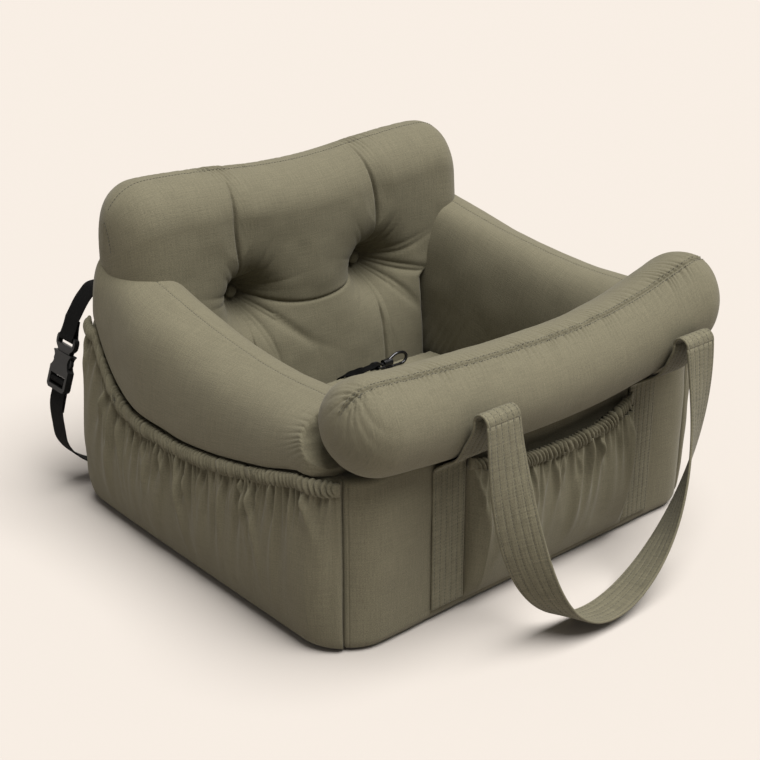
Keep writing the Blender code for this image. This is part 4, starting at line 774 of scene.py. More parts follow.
SLUB_SCALE = 100.0
SLUB_LONG = 0.35
SLUB_THIN = 6.0
NAP_SCALE = 700.0
NAP_STRETCH = (0.8, 1.5, 1.0)
CROSSING_RELIEF = 0.14
CROSSING_SHADE = 0.04
PATCH_SCALE = 14.0
DOTS_PER_METRE = 130.0
DOT_SHARE = 0.26
PORES_PER_METRE = 700.0
HERRINGBONE = 0.0025
RIB_PITCH = 0.0013
EVEN = (1.0, 1.0, 1.0)


def new_group(name, *sockets):
    """A shader group with its sockets, each given as name, kind, way and perhaps a value."""
    group = bpy.data.node_groups.new(name, "ShaderNodeTree")
    for title, kind, way, *value in sockets:
        made = group.interface.new_socket(name=title, socket_type="NodeSocket" + kind, in_out=way)
        if value:
            made.default_value = value[0]
    return group, group.nodes.new("NodeGroupInput"), group.nodes.new("NodeGroupOutput")


def add_node(tree, kind, **settings):
    node = tree.nodes.new("ShaderNode" + kind)
    for key, value in settings.items():
        setattr(node, key, value)
    return node


def maths(tree, operation, first, second=None):
    node = add_node(tree, "Math", operation=operation)
    for at, value in enumerate((first, second)):
        if value is None:
            continue
        if isinstance(value, (int, float)):
            node.inputs[at].default_value = value
        else:
            tree.links.new(value, node.inputs[at])
    return node.outputs[0]


def stretched_noise(tree, vector, scale, stretch, detail=2.0):
    """Noise whose grain is longer one way: the vector is scaled before it is read."""
    mapping = add_node(tree, "Mapping")
    mapping.inputs["Scale"].default_value = stretch
    tree.links.new(vector, mapping.inputs["Vector"])
    noise = add_node(tree, "TexNoise")
    noise.inputs["Detail"].default_value = detail
    noise.inputs["Scale"].default_value = scale
    tree.links.new(mapping.outputs["Vector"], noise.inputs["Vector"])
    return noise.outputs["Fac"]


def weave_group():
    """Plain weave: two crossing waves one thread pitch long, whose product is the over and
    under of the threads, with slubs that thicken some threads along their length."""
    found = bpy.data.node_groups.get("plain_weave")
    if found:
        return found
    group, source, end = new_group(
        "plain_weave", ("Vector", "Vector", "INPUT"), ("Threads", "Float", "INPUT", 900.0),
        ("Slub", "Float", "INPUT", 0.5), ("Height", "Float", "OUTPUT"), ("Shade", "Float", "OUTPUT"))
    parts = add_node(group, "SeparateXYZ")
    group.links.new(source.outputs["Vector"], parts.inputs[0])
    waves = []
    for axis in range(2):
        turns = maths(group, "MULTIPLY", parts.outputs[axis], source.outputs["Threads"])
        waves.append(maths(group, "SINE", maths(group, "MULTIPLY", turns, pi)))
    crossing = maths(group, "MULTIPLY", waves[0], waves[1])
    along = stretched_noise(group, source.outputs["Vector"], SLUB_SCALE, (SLUB_LONG, SLUB_THIN, 1.0))
    across = stretched_noise(group, source.outputs["Vector"], SLUB_SCALE, (SLUB_THIN, SLUB_LONG, 1.0))
    slubs = maths(group, "SUBTRACT", maths(group, "ADD", along, across), 1.0)
    slubs = maths(group, "MULTIPLY", slubs, source.outputs["Slub"])
    nap = stretched_noise(group, source.outputs["Vector"], NAP_SCALE, NAP_STRETCH, detail=3.0)
    nap = maths(group, "SUBTRACT", nap, 0.5)
    grain = maths(group, "ADD", slubs, nap)
    height = maths(group, "ADD", maths(group, "MULTIPLY", crossing, CROSSING_RELIEF), grain)
    group.links.new(height, end.inputs["Height"])
    shade = maths(group, "ADD", grain, maths(group, "MULTIPLY", crossing, CROSSING_SHADE))
    group.links.new(shade, end.inputs["Shade"])
    return group


def tint_group():
    """A colour made lighter and darker by a shade from -1 to 1 and by large soft patches."""
    found = bpy.data.node_groups.get("uneven_tint")
    if found:
        return found
    group, source, end = new_group(
        "uneven_tint", ("Color", "Color", "INPUT"), ("Shade", "Float", "INPUT", 0.0),
        ("Strength", "Float", "INPUT", 0.25), ("Patches", "Float", "INPUT", 0.12),
        ("Color", "Color", "OUTPUT"))
    place = add_node(group, "TexCoord")
    patches = stretched_noise(group, place.outputs["Object"], PATCH_SCALE, EVEN, detail=4.0)
    patches = maths(group, "SUBTRACT", patches, 0.5)
    patches = maths(group, "MULTIPLY", patches, source.outputs["Patches"])
    fine = maths(group, "MULTIPLY", source.outputs["Shade"], source.outputs["Strength"])
    gain = maths(group, "ADD", 1.0, maths(group, "ADD", patches, fine))
    scaled = add_node(group, "VectorMath", operation="SCALE")
    group.links.new(source.outputs["Color"], scaled.inputs[0])
    group.links.new(gain, scaled.inputs["Scale"])
    group.links.new(scaled.outputs[0], end.inputs["Color"])
    return group


def new_material(name, roughness, metallic=0.0, sheen=0.0, specular=0.5):
    made = bpy.data.materials.new(name)
    made.use_nodes = True
    shader = made.node_tree.nodes["Principled BSDF"]
    shader.inputs["Roughness"].default_value = roughness
    shader.inputs["Metallic"].default_value = metallic
    shader.inputs["Specular IOR Level"].default_value = specular
    shader.inputs["Sheen Weight"].default_value = sheen
    shader.inputs["Sheen Roughness"].default_value = 0.45
    return made, made.node_tree, shader


def placed_group(tree, group, **values):
    node = tree.nodes.new("ShaderNodeGroup")
    node.node_tree = group
    for key, value in values.items():
        if isinstance(value, bpy.types.NodeSocket):
            tree.links.new(value, node.inputs[key])
        else:
            node.inputs[key].default_value = value
    return node


def add_bump(tree, shader, height, distance):
    bump = add_node(tree, "Bump")
    bump.inputs["Distance"].default_value = distance
    tree.links.new(height, bump.inputs["Height"])
    tree.links.new(bump.outputs["Normal"], shader.inputs["Normal"])


def tinted(tree, shader, colour, shade, **settings):
    """The base colour: the tint group fed with a colour and with the finish's own shade."""
    tint = placed_group(tree, tint_group(), Color=(*colour, 1.0), Shade=shade, **settings)
    tree.links.new(tint.outputs["Color"], shader.inputs["Base Color"])


def once(build):
    """Keeps one copy of each material under its function's name."""
    def keep():
        name, scene = build.__name__, bpy.context.scene
        found = bpy.data.materials.get(name)
        return found or build(name, scene.car_seat_sizes, scene.car_seat_colours)
    return keep


def cloth_material(name, colour, threads, slub, depth, patches=0.10):
    """Woven cloth: thread relief, slub shading, soft patches and a fine brushed nap."""
    made, tree, shader = new_material(name, roughness=0.88, sheen=0.06, specular=0.25)
    uv = add_node(tree, "TexCoord").outputs["UV"]
    weave = placed_group(tree, weave_group(), Vector=uv, Threads=threads, Slub=slub)
    tinted(tree, shader, colour, weave.outputs["Shade"], Strength=0.90, Patches=patches)
    add_bump(tree, shader, weave.outputs["Height"], depth)
    return made


@once
def cover_cloth(name, sizes, colours):
    """The cushions' and walls' cloth."""
    return cloth_material(name, colours.cover, 1 / sizes.weave_pitch, slub=0.36, depth=0.00032)


@once
def trim_cloth(name, sizes, colours):
    """The same cloth on buttons and hems, a little coarser."""
    return cloth_material(name, colours.cover, 1 / sizes.weave_pitch, slub=0.40, depth=0.00034)


@once
def handle_webbing(name, sizes, colours):
    """The handles' webbing, of thicker threads."""
    return cloth_material(name, colours.webbing, 0.8 / sizes.weave_pitch, slub=0.8, depth=0.00035,
                          patches=0.14)


@once
def cover_thread(name, sizes, colours):
    """Spun thread: its twist shades it and roughens it."""
    made, tree, shader = new_material(name, roughness=0.75, sheen=0.2, specular=0.3)
    place = add_node(tree, "TexCoord").outputs["Object"]
    twist = stretched_noise(tree, place, 1800.0, EVEN)
    tinted(tree, shader, colours.thread, twist, Strength=0.5)
    add_bump(tree, shader, twist, distance=0.0001)
    return made


@once
def grip_cloth(name, sizes, colours):
    """Coated cloth with rubbery dots that keep the seat from sliding."""
    made, tree, shader = new_material(name, roughness=0.8, specular=0.3)
    place = add_node(tree, "TexCoord").outputs["Object"]
    dots = add_node(tree, "TexVoronoi", voronoi_dimensions="2D")
    dots.inputs["Scale"].default_value = DOTS_PER_METRE
    dots.inputs["Randomness"].default_value = 0.0
    tree.links.new(place, dots.inputs["Vector"])
    mask = maths(tree, "LESS_THAN", dots.outputs["Distance"], DOT_SHARE)
    tinted(tree, shader, colours.grip, mask, Strength=-0.45)
    rough = maths(tree, "SUBTRACT", 0.85, maths(tree, "MULTIPLY", mask, 0.35))
    tree.links.new(rough, shader.inputs["Roughness"])
    add_bump(tree, shader, mask, distance=0.0008)
    return made


@once
def foam_block(name, sizes, colours):
    """Open cell foam: small round pores in a charcoal grey."""
    made, tree, shader = new_material(name, roughness=0.95, specular=0.2)
    place = add_node(tree, "TexCoord").outputs["Object"]
    pores = add_node(tree, "TexVoronoi")
    pores.inputs["Scale"].default_value = PORES_PER_METRE
    tree.links.new(place, pores.inputs["Vector"])
    tinted(tree, shader, colours.foam, pores.outputs["Distance"], Strength=0.4)
    add_bump(tree, shader, pores.outputs["Distance"], distance=0.0006)
    return made


@once
def strap_webbing(name, sizes, colours):
    """Black woven webbing: a herringbone of tight ribs across the strap's width."""
    made, tree, shader = new_material(name, roughness=0.70, specular=0.05)
    uv = add_node(tree, "TexCoord").outputs["UV"]
    parts = add_node(tree, "SeparateXYZ")
    tree.links.new(uv, parts.inputs[0])
    zigzag = maths(tree, "PINGPONG", parts.outputs[1], HERRINGBONE)
    turns = maths(tree, "ADD", parts.outputs[0], zigzag)
    turns = maths(tree, "MULTIPLY", turns, 2 * pi / RIB_PITCH)
    ribs = maths(tree, "SINE", turns)
    fuzz = stretched_noise(tree, uv, 900.0, EVEN)
    height = maths(tree, "ADD", maths(tree, "MULTIPLY", ribs, 0.5), fuzz)
    tinted(tree, shader, colours.black_web, ribs, Strength=0.45, Patches=0.3)
    add_bump(tree, shader, height, distance=0.00025)
    return made


@once
def buckle_plastic(name, sizes, colours):
    """Moulded plastic: a fine spark-eroded grain, with handling marks that gloss it in places."""
    made, tree, shader = new_material(name, roughness=0.4, specular=0.20)
    place = add_node(tree, "TexCoord").outputs["Object"]
    grain = stretched_noise(tree, place, 2600.0, EVEN, detail=3.0)
    marks = stretched_noise(tree, place, 160.0, EVEN, detail=5.0)
    rough = maths(tree, "ADD", 0.27, maths(tree, "MULTIPLY", marks, 0.26))
    tree.links.new(rough, shader.inputs["Roughness"])
    tinted(tree, shader, colours.plastic, grain, Strength=0.2, Patches=0.4)
    add_bump(tree, shader, grain, distance=0.00005)
    return made


@once
def snap_metal(name, sizes, colours):
    """Black plated casting: glossy, with a faint orange-peel skin and finer wear marks."""
    made, tree, shader = new_material(name, roughness=0.2, metallic=0.85, specular=0.6)
    place = add_node(tree, "TexCoord").outputs["Object"]
    skin = stretched_noise(tree, place, 420.0, EVEN, detail=3.0)
    marks = stretched_noise(tree, place, 1500.0, (1.0, 0.2, 1.0), detail=4.0)
    rough = maths(tree, "ADD", 0.12, maths(tree, "MULTIPLY", marks, 0.2))
    tree.links.new(rough, shader.inputs["Roughness"])
    tinted(tree, shader, colours.metal, marks, Strength=0.3, Patches=0.3)
    add_bump(tree, shader, skin, distance=0.00012)
    return made


# Walls and bottom

SIDE_TURNS = {"front": -pi / 2, "right": 0.0, "back": pi / 2, "left": pi}
SIDE_STARTS = {"front": (-1, -1), "right": (1, -1), "back": (1, 1), "left": (-1, 1)}


def side_length(side):
    """Length of a wall's plan line: its straight and half of each corner's arc."""
    half = STRAIGHT_X if side in ("front", "back") else STRAIGHT_Y
    return 2 * half + 2 * CORNER_ARC


def side_line(side, run, inset=0.0):
    """Plan points and outward normals along one wall: an eighth of a turn, a straight and
    another eighth. run is the distance from the middle of the wall's first corner."""
    straight = side_length(side) - 2 * CORNER_ARC
    first = np.clip(run, 0, CORNER_ARC) - CORNER_ARC
    last = np.clip(run - CORNER_ARC - straight, 0, CORNER_ARC)
    facing = SIDE_TURNS[side]
    angle = facing + (first + last) / CORNER_RADIUS
    normals = np.stack([np.cos(angle), np.sin(angle)], axis=-1)
    forward = np.array([-sin(facing), cos(facing)])
    start = np.array(SIDE_STARTS[side]) * (STRAIGHT_X, STRAIGHT_Y)
    centre = start + np.clip(run - CORNER_ARC, 0, straight)[..., None] * forward
    return centre + np.expand_dims(CORNER_RADIUS - inset, -1) * normals, normals


def rim_height(y):
    """Top edge of the side walls: low at the middle, rising to the front and the back."""
    y = np.clip(y, -STRAIGHT_Y, STRAIGHT_Y)
    front = np.clip((RIM_LOW_PLACE - y) / (RIM_LOW_PLACE + STRAIGHT_Y), 0, 1)
    back = np.clip((y - RIM_LOW_PLACE) / (STRAIGHT_Y - RIM_LOW_PLACE), 0, 1)
    return (RIM_MIDDLE + (RIM_FRONT - RIM_MIDDLE) * front**RIM_FRONT_POWER
            + (RIM_BACK - RIM_MIDDLE) * back**RIM_BACK_POWER)


def roll_radius(x):
    """The roll's radius, which grows as a square towards its right end."""
    return ROLL_RADIUS + ROLL_RIGHT_SWELL * np.clip(np.asarray(x) / STRAIGHT_X, 0, 1) ** 2


def roll_height(x):
    """Height of the roll's middle line, which climbs to both ends like a smile."""
    left = np.clip(np.asarray(x) / ROLL_LEFT, 0, None)
    right = np.clip(np.asarray(x) / ROLL_RIGHT, 0, None)
    return ROLL_MIDDLE_HEIGHT + ROLL_LEFT_RISE * left**2 + ROLL_RIGHT_RISE * right**2


def wall_top(side, points):
    """Upper edge of a wall. The front one follows the roll's underside between its corners."""
    if side in ("left", "right"):
        return rim_height(points[:, 1])
    if side == "back":
        return np.full(len(points), RIM_BACK)
    x = points[:, 0]
    corner = s_curve(np.abs(x), STRAIGHT_X - CORNER_RADIUS / 4, STRAIGHT_X + CORNER_RADIUS / 4)
    under = roll_height(x) - roll_radius(x) - CLEARANCE
    return under + (RIM_FRONT - under) * corner


def panel_belly(side, run, share):
    """How far the foam pushes a bare panel out: a low swell in each field between seams and
    webbing, nothing along them. The side walls are flat under their pockets."""
    if side in ("left", "right"):
        return np.zeros_like(run)
    if side == "front":
        edges = [FRONT_HANDLE_LEFT - WEBBING_WIDTH / 2, FRONT_HANDLE_RIGHT + WEBBING_WIDTH / 2]
    else:
        edges = [-BACK_HALF_SPAN - WEBBING_WIDTH / 2, BACK_HALF_SPAN + WEBBING_WIDTH / 2]
    half = side_length(side) / 2
    x = run - half
    left_share = np.clip((x + half) / (edges[0] + half), 0, 1)
    right_share = np.clip((half - x) / (half - edges[1]), 0, 1)
    field = np.where(left_share < 1, np.sin(pi * left_share), np.sin(pi * right_share))
    return PANEL_BELLY * field * np.sin(pi * np.clip(share, 0, 1)) ** BELLY_ROUNDNESS


def corner_seam(run, length, topstitched):
    """The seam at each end of a wall, drawn in by its thread, and a second line beside it."""
    away = np.minimum(run, length - run)
    sink = SEAM_DEPTH * np.exp(-away / SEAM_HALF)
    if topstitched:
        sink = sink + SEAM_DEPTH / 2 * bell(away - TOPSTITCH_PLACE, SEAM_HALF / 2)
    return sink


def wall_rings(side):
    """A padded wall as rings across its thickness: up the outer face, whose foot and top are
    quarter circles, and down the inner face. Belly and seams move the outer face."""
    length = side_length(side)
    run = spaced(0.0, 20, SEAM_FINE, 150, length - SEAM_FINE, 20, length)
    points = side_line(side, run)[0]
    top = wall_top(side, points) - CLEARANCE
    foot_share = WALL_EDGE / RIM_MIDDLE
    shares = edge_lines(0.0, 1.0, foot_share, foot_share / 2, 10, 34)
    outer_z = WALL_LIFT + (top[:, None] - WALL_LIFT) * shares
    foot = WALL_EDGE * (1 - rounding(outer_z - WALL_LIFT, WALL_EDGE))
    head = WALL_TOP_ROUND * (1 - rounding(top[:, None] - outer_z, WALL_TOP_ROUND))
    run_grid = np.broadcast_to(run[:, None], outer_z.shape)
    belly = panel_belly(side, run_grid, shares[None, :])
    topstitched = side in ("front", "back")
    sink = corner_seam(run_grid, length, topstitched) * np.sign(shares)
    drape = slack(run_grid, outer_z, PANEL_WAVES, 7 + len(side))
    outer_inset = foot + head + sink - belly - drape * (belly > 0)
    inner_z = WALL_LIFT + (top[:, None] - WALL_LIFT) * np.linspace(1, 0, 8)
    inner_inset = np.full_like(inner_z, WALL_DEPTH)
    inset = np.concatenate([outer_inset, inner_inset], axis=1)
    z = np.concatenate([outer_z, inner_z], axis=1)
    run_all = np.broadcast_to(run[:, None], z.shape)
    plan = side_line(side, run_all, inset)[0]
    return leaned(np.concatenate([plan, z[..., None]], axis=-1))


def leaned(points):
    """Walls, pockets and hems lean in towards their top at the back, where the cushions pull."""
    x, y, z = np.moveaxis(points, -1, 0)
    share = s_curve(y, 0, STRAIGHT_Y) * np.clip(z / RIM_BACK, 0, 1) ** 2
    return np.stack([x * (1 - WALL_LEAN / HALF_WIDTH * share), y, z], axis=-1)


def build_walls(sizes):
    """The four walls, with a row of thread beside the front's and back's corner seams."""
    for side in SIDE_TURNS:
        wall = loft(side + "_wall", wall_rings(side))
        upholster(wall, [side + "_panel", side + "_foam_board"])
        if side not in ("front", "back"):
            continue
        lines = []
        length = side_length(side)
        for place in (TOPSTITCH_PLACE, length - TOPSTITCH_PLACE):
            run = np.full(SEAM_POINTS, place)
            depth = np.full(SEAM_POINTS, SEAM_DEPTH / 2)
            plan, normals = side_line(side, run, depth)
            z = np.linspace(WALL_EDGE, wall_top(side, plan)[0] - WALL_TOP_ROUND, SEAM_POINTS)
            out = np.column_stack([normals, np.zeros(SEAM_POINTS)])
            lines.append((leaned(np.column_stack([plan, z])), out))
        sew(side + "_corner_stitches", lines, sizes)


def build_bottom():
    """The padded bottom: plan outlines with a round lower edge, closed by a flat underside."""
    turn = np.linspace(0, pi / 2, 9)
    inset = np.concatenate([BOTTOM_RINGS, BOTTOM_INSET + WALL_EDGE * (1 - np.sin(turn)), [BOTTOM_TUCK]])
    z = np.concatenate([np.zeros(len(BOTTOM_RINGS)), WALL_EDGE * (1 - np.cos(turn)), [BOTTOM_TOP]])
    outline = []
    for side in SIDE_TURNS:
        run = np.linspace(0, side_length(side), 60)[:-1]
        depth = np.broadcast_to(inset[:, None], (len(inset), len(run)))
        outline.append(side_line(side, np.broadcast_to(run, depth.shape), depth)[0])
    plan = np.concatenate(outline, axis=1)
    height = np.broadcast_to(z[:, None, None], (*plan.shape[:2], 1))
    pad = loft("bottom_pad", np.concatenate([plan, height], axis=-1))
    finish_piece(pad, grip_cloth(), "seat", ["bottom_panel"])
    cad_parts["base_foam"].data.materials.clear()
    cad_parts["base_foam"].data.materials.append(foam_block())


# Arm bolsters

def arm_crest(y, side):
    """Highest line of an arm bolster, of which the right one is stuffed fuller."""
    front = np.clip((ARM_LOW_PLACE - y) / (ARM_LOW_PLACE - ARM_FRONT_Y), 0, 1)
    back = np.clip((y - ARM_LOW_PLACE) / (ARM_BACK_Y - ARM_LOW_PLACE), 0, 1)
    lift = ARM_RIGHT_LIFT * (np.asarray(side) > 0)
    return (ARM_CREST_LOW + lift + (ARM_CREST_FRONT - ARM_CREST_LOW) * front**2
            + (ARM_CREST_BACK - ARM_CREST_LOW - lift) * back**ARM_BACK_POWER)


def plan_reach(y, inset):
    """Half width of the plan outline at one depth, round at the corners."""
    past = np.maximum(np.abs(y) - STRAIGHT_Y, 0.0)
    radius = CORNER_RADIUS - inset
    return STRAIGHT_X + np.sqrt(np.maximum(radius**2 - past**2, 0.0))


def arm_outer(y):
    """Outer side of an arm bolster, which draws in towards the backrest."""
    return plan_reach(y, 0.0) - ARM_BACK_DRAW * (1 - rounding(ARM_BACK_Y - y, ARM_BACK_TAPER))


def under_roll(x, y):
    """Height of the space under the front roll, without limit where it isn't overhead."""
    radius = roll_radius(x) + ARM_TUCK_GAP
    past = radius**2 - (y - ROLL_BACK_Y + roll_radius(x)) ** 2
    return np.where(past > 0, roll_height(x) - np.sqrt(np.maximum(past, 0)), np.inf)


def arm_rings(sign, gather_height):
    """An arm bolster: at each depth a superellipse over the wall whose outer side hangs out over
    the hem, a drop down its inner side and a step back over the foam, its corners softened."""
    y = edge_lines(ARM_FRONT_Y, ARM_BACK_Y, ARM_END_EDGE, ARM_END_EDGE, 7, 190)[:, None]
    arc = np.linspace(0, pi, 250)[None]
    draw = ARM_END_HEIGHT + (1 - ARM_END_HEIGHT) * rounding(ARM_BACK_Y - y, ARM_END_ROUND)
    back_share = np.clip(y / ARM_BACK_Y, 0, 1)
    power = 2 / (ARM_ROUNDNESS + (ARM_BACK_ROUNDNESS - ARM_ROUNDNESS) * back_share)
    floor = rim_height(y) + 2 * CLEARANCE
    rise = (arm_crest(y, sign) - floor) * draw
    outer_x, board_x = arm_outer(y), plan_reach(y, INNER_INSET)
    centre, reach = (outer_x + ARM_INNER_X) / 2, (outer_x - ARM_INNER_X) / 2
    across = np.sign(np.cos(arc)) * np.abs(np.cos(arc)) ** power
    hang = ARM_BULGE * s_curve(ARM_BACK_Y - y, ARM_BACK_TAPER / 2, 2 * ARM_BACK_TAPER)
    up = np.sin(np.clip(arc / ARM_FOOT_ANGLE / 2, 0, 1) * pi)
    foot_swell = ARM_FOOT_BULGE + (1 - ARM_FOOT_BULGE) * up
    x = centre + reach * across + hang * np.where(arc < ARM_FOOT_ANGLE, foot_swell, up**0.5)
    z = np.minimum(floor + rise * np.sin(arc) ** power, under_roll(sign * x, y))
    ones = np.ones_like(y)
    down = np.linspace(1, 0, 26)[None, 1:]
    step = np.linspace(0, 1, 12)[None, 1:]
    legs = [
        (ARM_INNER_X * ones * np.ones_like(down), CUSHION_FOOT + (floor - CUSHION_FOOT) * down),
        (ARM_INNER_X + (board_x - ARM_INNER_X) * step, CUSHION_FOOT * ones * np.ones_like(step)),
        (board_x * np.ones_like(step), CUSHION_FOOT + (floor - CUSHION_FOOT) * step),
        (board_x + (outer_x + ARM_FOOT_BULGE * hang - board_x) * step[:, :-1],
         floor * np.ones_like(step[:, :-1])),
    ]
    x = np.concatenate([x] + [leg[0] for leg in legs], axis=1)
    z = np.concatenate([z] + [leg[1] for leg in legs], axis=1)
    rings = np.stack([sign * x, np.broadcast_to(y, x.shape), z], axis=-1)
    rings = softened(rings, ARM_SOFTENING)
    middle = rings.mean(axis=1, keepdims=True)
    from_end = np.minimum(y - ARM_FRONT_Y, ARM_BACK_Y - y)
    shrink = 1 - ARM_END_SHRINK * (1 - rounding(from_end, ARM_END_EDGE))
    rings = middle + (rings - middle) * shrink[..., None]
    normals = outward(rings)
    x, y, z = np.moveaxis(rings, -1, 0)
    upper = s_curve(z, *[floor + rise for rise in ARM_SEAM_RISE])
    from_seam = arm_outer(y) - ARM_SEAM_INSET - np.abs(x)
    seam = bell(from_seam - ARM_TOPSTITCH, ARM_SEAM_HALF) * upper * ARM_SEAM_GROOVE
    away = np.hypot(y - ROLL_BACK_Y + roll_radius(x), z - roll_height(x)) - roll_radius(x)
    turn = np.arctan2(z - roll_height(x), y - ROLL_BACK_Y + roll_radius(x)) * ROLL_RADIUS
    outer = s_curve(np.abs(x), *[ARM_INNER_X + side for side in ARM_GATHER_SIDE])
    drawn = gathers(turn, ARM_GATHER_PITCH, 31) * np.exp(-np.maximum(away, 0) / ARM_GATHER_REACH) * outer
    soft = slack(y, z + x, ARM_WAVES[:1], 3) + slack(y, z - x, ARM_WAVES[1:], 5)
    crumple = gathers(y + CRUMPLE_LEAN * (z - CUSHION_FOOT), CRUMPLE_PITCH, 41)
    crumple = crumple * s_curve(ARM_INNER_X + CRUMPLE_SIDE - np.abs(x), 0, CRUMPLE_FADE)
    crumple = crumple * np.exp(-np.maximum(z - SEAT_HEIGHT, 0) / CRUMPLE_REACH) * CRUMPLE_HEIGHT
    lift = soft - seam + drawn * gather_height + crumple
    return rings + normals * lift[..., None], normals


def build_arms(sizes):
    """Both arm bolsters, each with its topstitch."""
    for side, sign in (("left", -1), ("right", 1)):
        rings, normals = arm_rings(sign, sizes.gather_height)
        arm = loft(side + "_arm", rings)
        upholster(arm, [side + "_arm_bolster"])
        sew(side + "_arm_stitches", [arm_seam_line(rings, normals)], sizes)


def arm_seam_line(rings, normals):
    """The topstitch beside the arm's seam: on each ring, the upper point nearest its line."""
    aim = arm_outer(rings[..., 1]) - ARM_SEAM_INSET - ARM_TOPSTITCH
    upper = rings[..., 2] > rings[..., 2].mean(axis=1, keepdims=True)
    miss = np.where(upper, np.abs(np.abs(rings[..., 0]) - aim), 1.0)
    at = miss.argmin(axis=1)
    rows = np.arange(len(rings))
    y = rings[:, 0, 1]
    keep = (y > ARM_FRONT_Y + ARM_THREAD_START) & (y < ARM_BACK_Y - ARM_THREAD_END)
    points, out = rings[rows, at][keep], normals[rows, at][keep]
    smooth = np.column_stack([np.convolve(np.pad(points[:, k], 4, "edge"), np.ones(9) / 9, "valid")
                              for k in range(3)])
    smooth[:, 0] = np.sign(points[:, 0]) * aim[rows, at][keep]
    return smooth + out * ARM_THREAD_LIFT, out


# Front roll

def roll_rings(gather_height):
    """A banana-shaped roll: round rings along x that climb to both ends. A seam runs along the
    crest with small gathers on both sides, and its left end is drawn together at the seam."""
    tip = ROLL_RIGHT - ROLL_TIP_DRAW
    x = edge_lines(ROLL_LEFT, tip, ROLL_END_LENGTH, ROLL_END_LENGTH, 44, 520)[:, None]
    t = np.linspace(-pi, pi, 150, endpoint=False)[None]
    angle = ROLL_SEAM_ANGLE + t - ROLL_CROWDING * np.sin(t)
    distance = np.minimum(x - ROLL_LEFT, tip - x)
    full = roll_radius(x)
    radius = full * (ROLL_TIP_SHARE + (1 - ROLL_TIP_SHARE) * rounding(distance, ROLL_END_LENGTH))
    y = ROLL_BACK_Y - full + radius * np.cos(angle)
    z = roll_height(x) + radius * np.sin(angle)
    rings = np.stack([np.broadcast_to(x, y.shape), y, z], axis=-1)
    normals = outward(rings)
    away = (angle - ROLL_SEAM_ANGLE) * full
    along = x + ROLL_GATHER_LEAN * np.abs(away)
    upper, lower = ROLL_GATHER_PITCHES
    small = gathers(along, upper, 51) * (away > 0)
    small = small + gathers(along + ROLL_GATHER_SHIFT, lower, 53) * (away <= 0)
    strength = 1 - ROLL_GATHER_CHANGE + ROLL_GATHER_CHANGE * smooth_noise(x, ROLL_CHANGE_PITCH, 55)
    reach = ROLL_GATHER_REACH + ROLL_REACH_CHANGE * smooth_noise(along, upper, 57)
    ripple = small * strength * np.exp(-np.abs(away) / reach) * (1 - bell(away, ROLL_CREST_HALF))
    groove = ROLL_GROOVE * bell(away, ROLL_GROOVE_HALF)
    pinch = np.array([ROLL_LEFT + PINCH_INSET,
                      ROLL_BACK_Y - ROLL_RADIUS + PINCH_RADIUS * cos(ROLL_SEAM_ANGLE),
                      float(roll_height(ROLL_LEFT)) + PINCH_RADIUS * sin(ROLL_SEAM_ANGLE)])
    from_pinch = rings - pinch
    gap = np.linalg.norm(from_pinch, axis=-1)
    spin = np.arctan2(from_pinch[..., 2], from_pinch[..., 1])
    star = gathers(spin * STAR_RADIUS, STAR_PITCH, 59) * np.exp(-gap / STAR_REACH)
    star = star * (1 - bell(gap, STAR_EYE))
    dimple = DIMPLE_DEPTH * bell(gap, DIMPLE_HALF)
    soft = slack(np.broadcast_to(x, y.shape), away, ROLL_WAVES, 61)
    ends = s_curve(distance, 0.0, ROLL_END_EDGE)
    seam = (ripple * gather_height * ROLL_GATHER_GAIN - groove) * ends
    lift = seam + star * STAR_HEIGHT - dimple + soft * ends
    return rings + normals * lift[..., None], normals, angle


def build_roll(sizes):
    """The roll, with a row of thread along each side of its seam."""
    rings, normals, angle = roll_rings(sizes.gather_height)
    roll = loft("front_roll_cushion", rings)
    upholster(roll, ["front_roll"])
    lines = []
    body = slice(ROLL_END_RINGS, -ROLL_END_RINGS)
    for shift in (-ROLL_TOPSTITCH, ROLL_TOPSTITCH):
        aim = ROLL_SEAM_ANGLE + shift / ROLL_RADIUS
        at = np.abs(angle - aim).argmin()
        out = normals[body, at]
        lines.append((rings[body, at] + out * THREAD_LIFT, out))
    sew("front_roll_stitches", lines, sizes)


# Backrest

def backrest_top(x):
    """Upper outline: two shoulders, a low dip between them and round corners."""
    inwards = np.clip(np.abs(x) / (BACKREST_HALF - BACKREST_CORNER), 0, 1)
    dip = BACKREST_DIP * (1 + np.cos(pi * inwards)) / 2
    past = np.clip(np.abs(x) - (BACKREST_HALF - BACKREST_CORNER), 0, BACKREST_CORNER)
    drop = BACKREST_CORNER - np.sqrt(BACKREST_CORNER**2 - past**2)
    return BACKREST_TOP - dip - drop


def crease(distance, depth, half):
    """A sewn crease: a wide soft valley with a sharp fold at its bottom."""
    return depth * (CREASE_VALLEY * bell(distance, 2 * half)
                    + (1 - CREASE_VALLEY) * np.exp(-np.abs(distance) / (half / CREASE_SHARPNESS)))


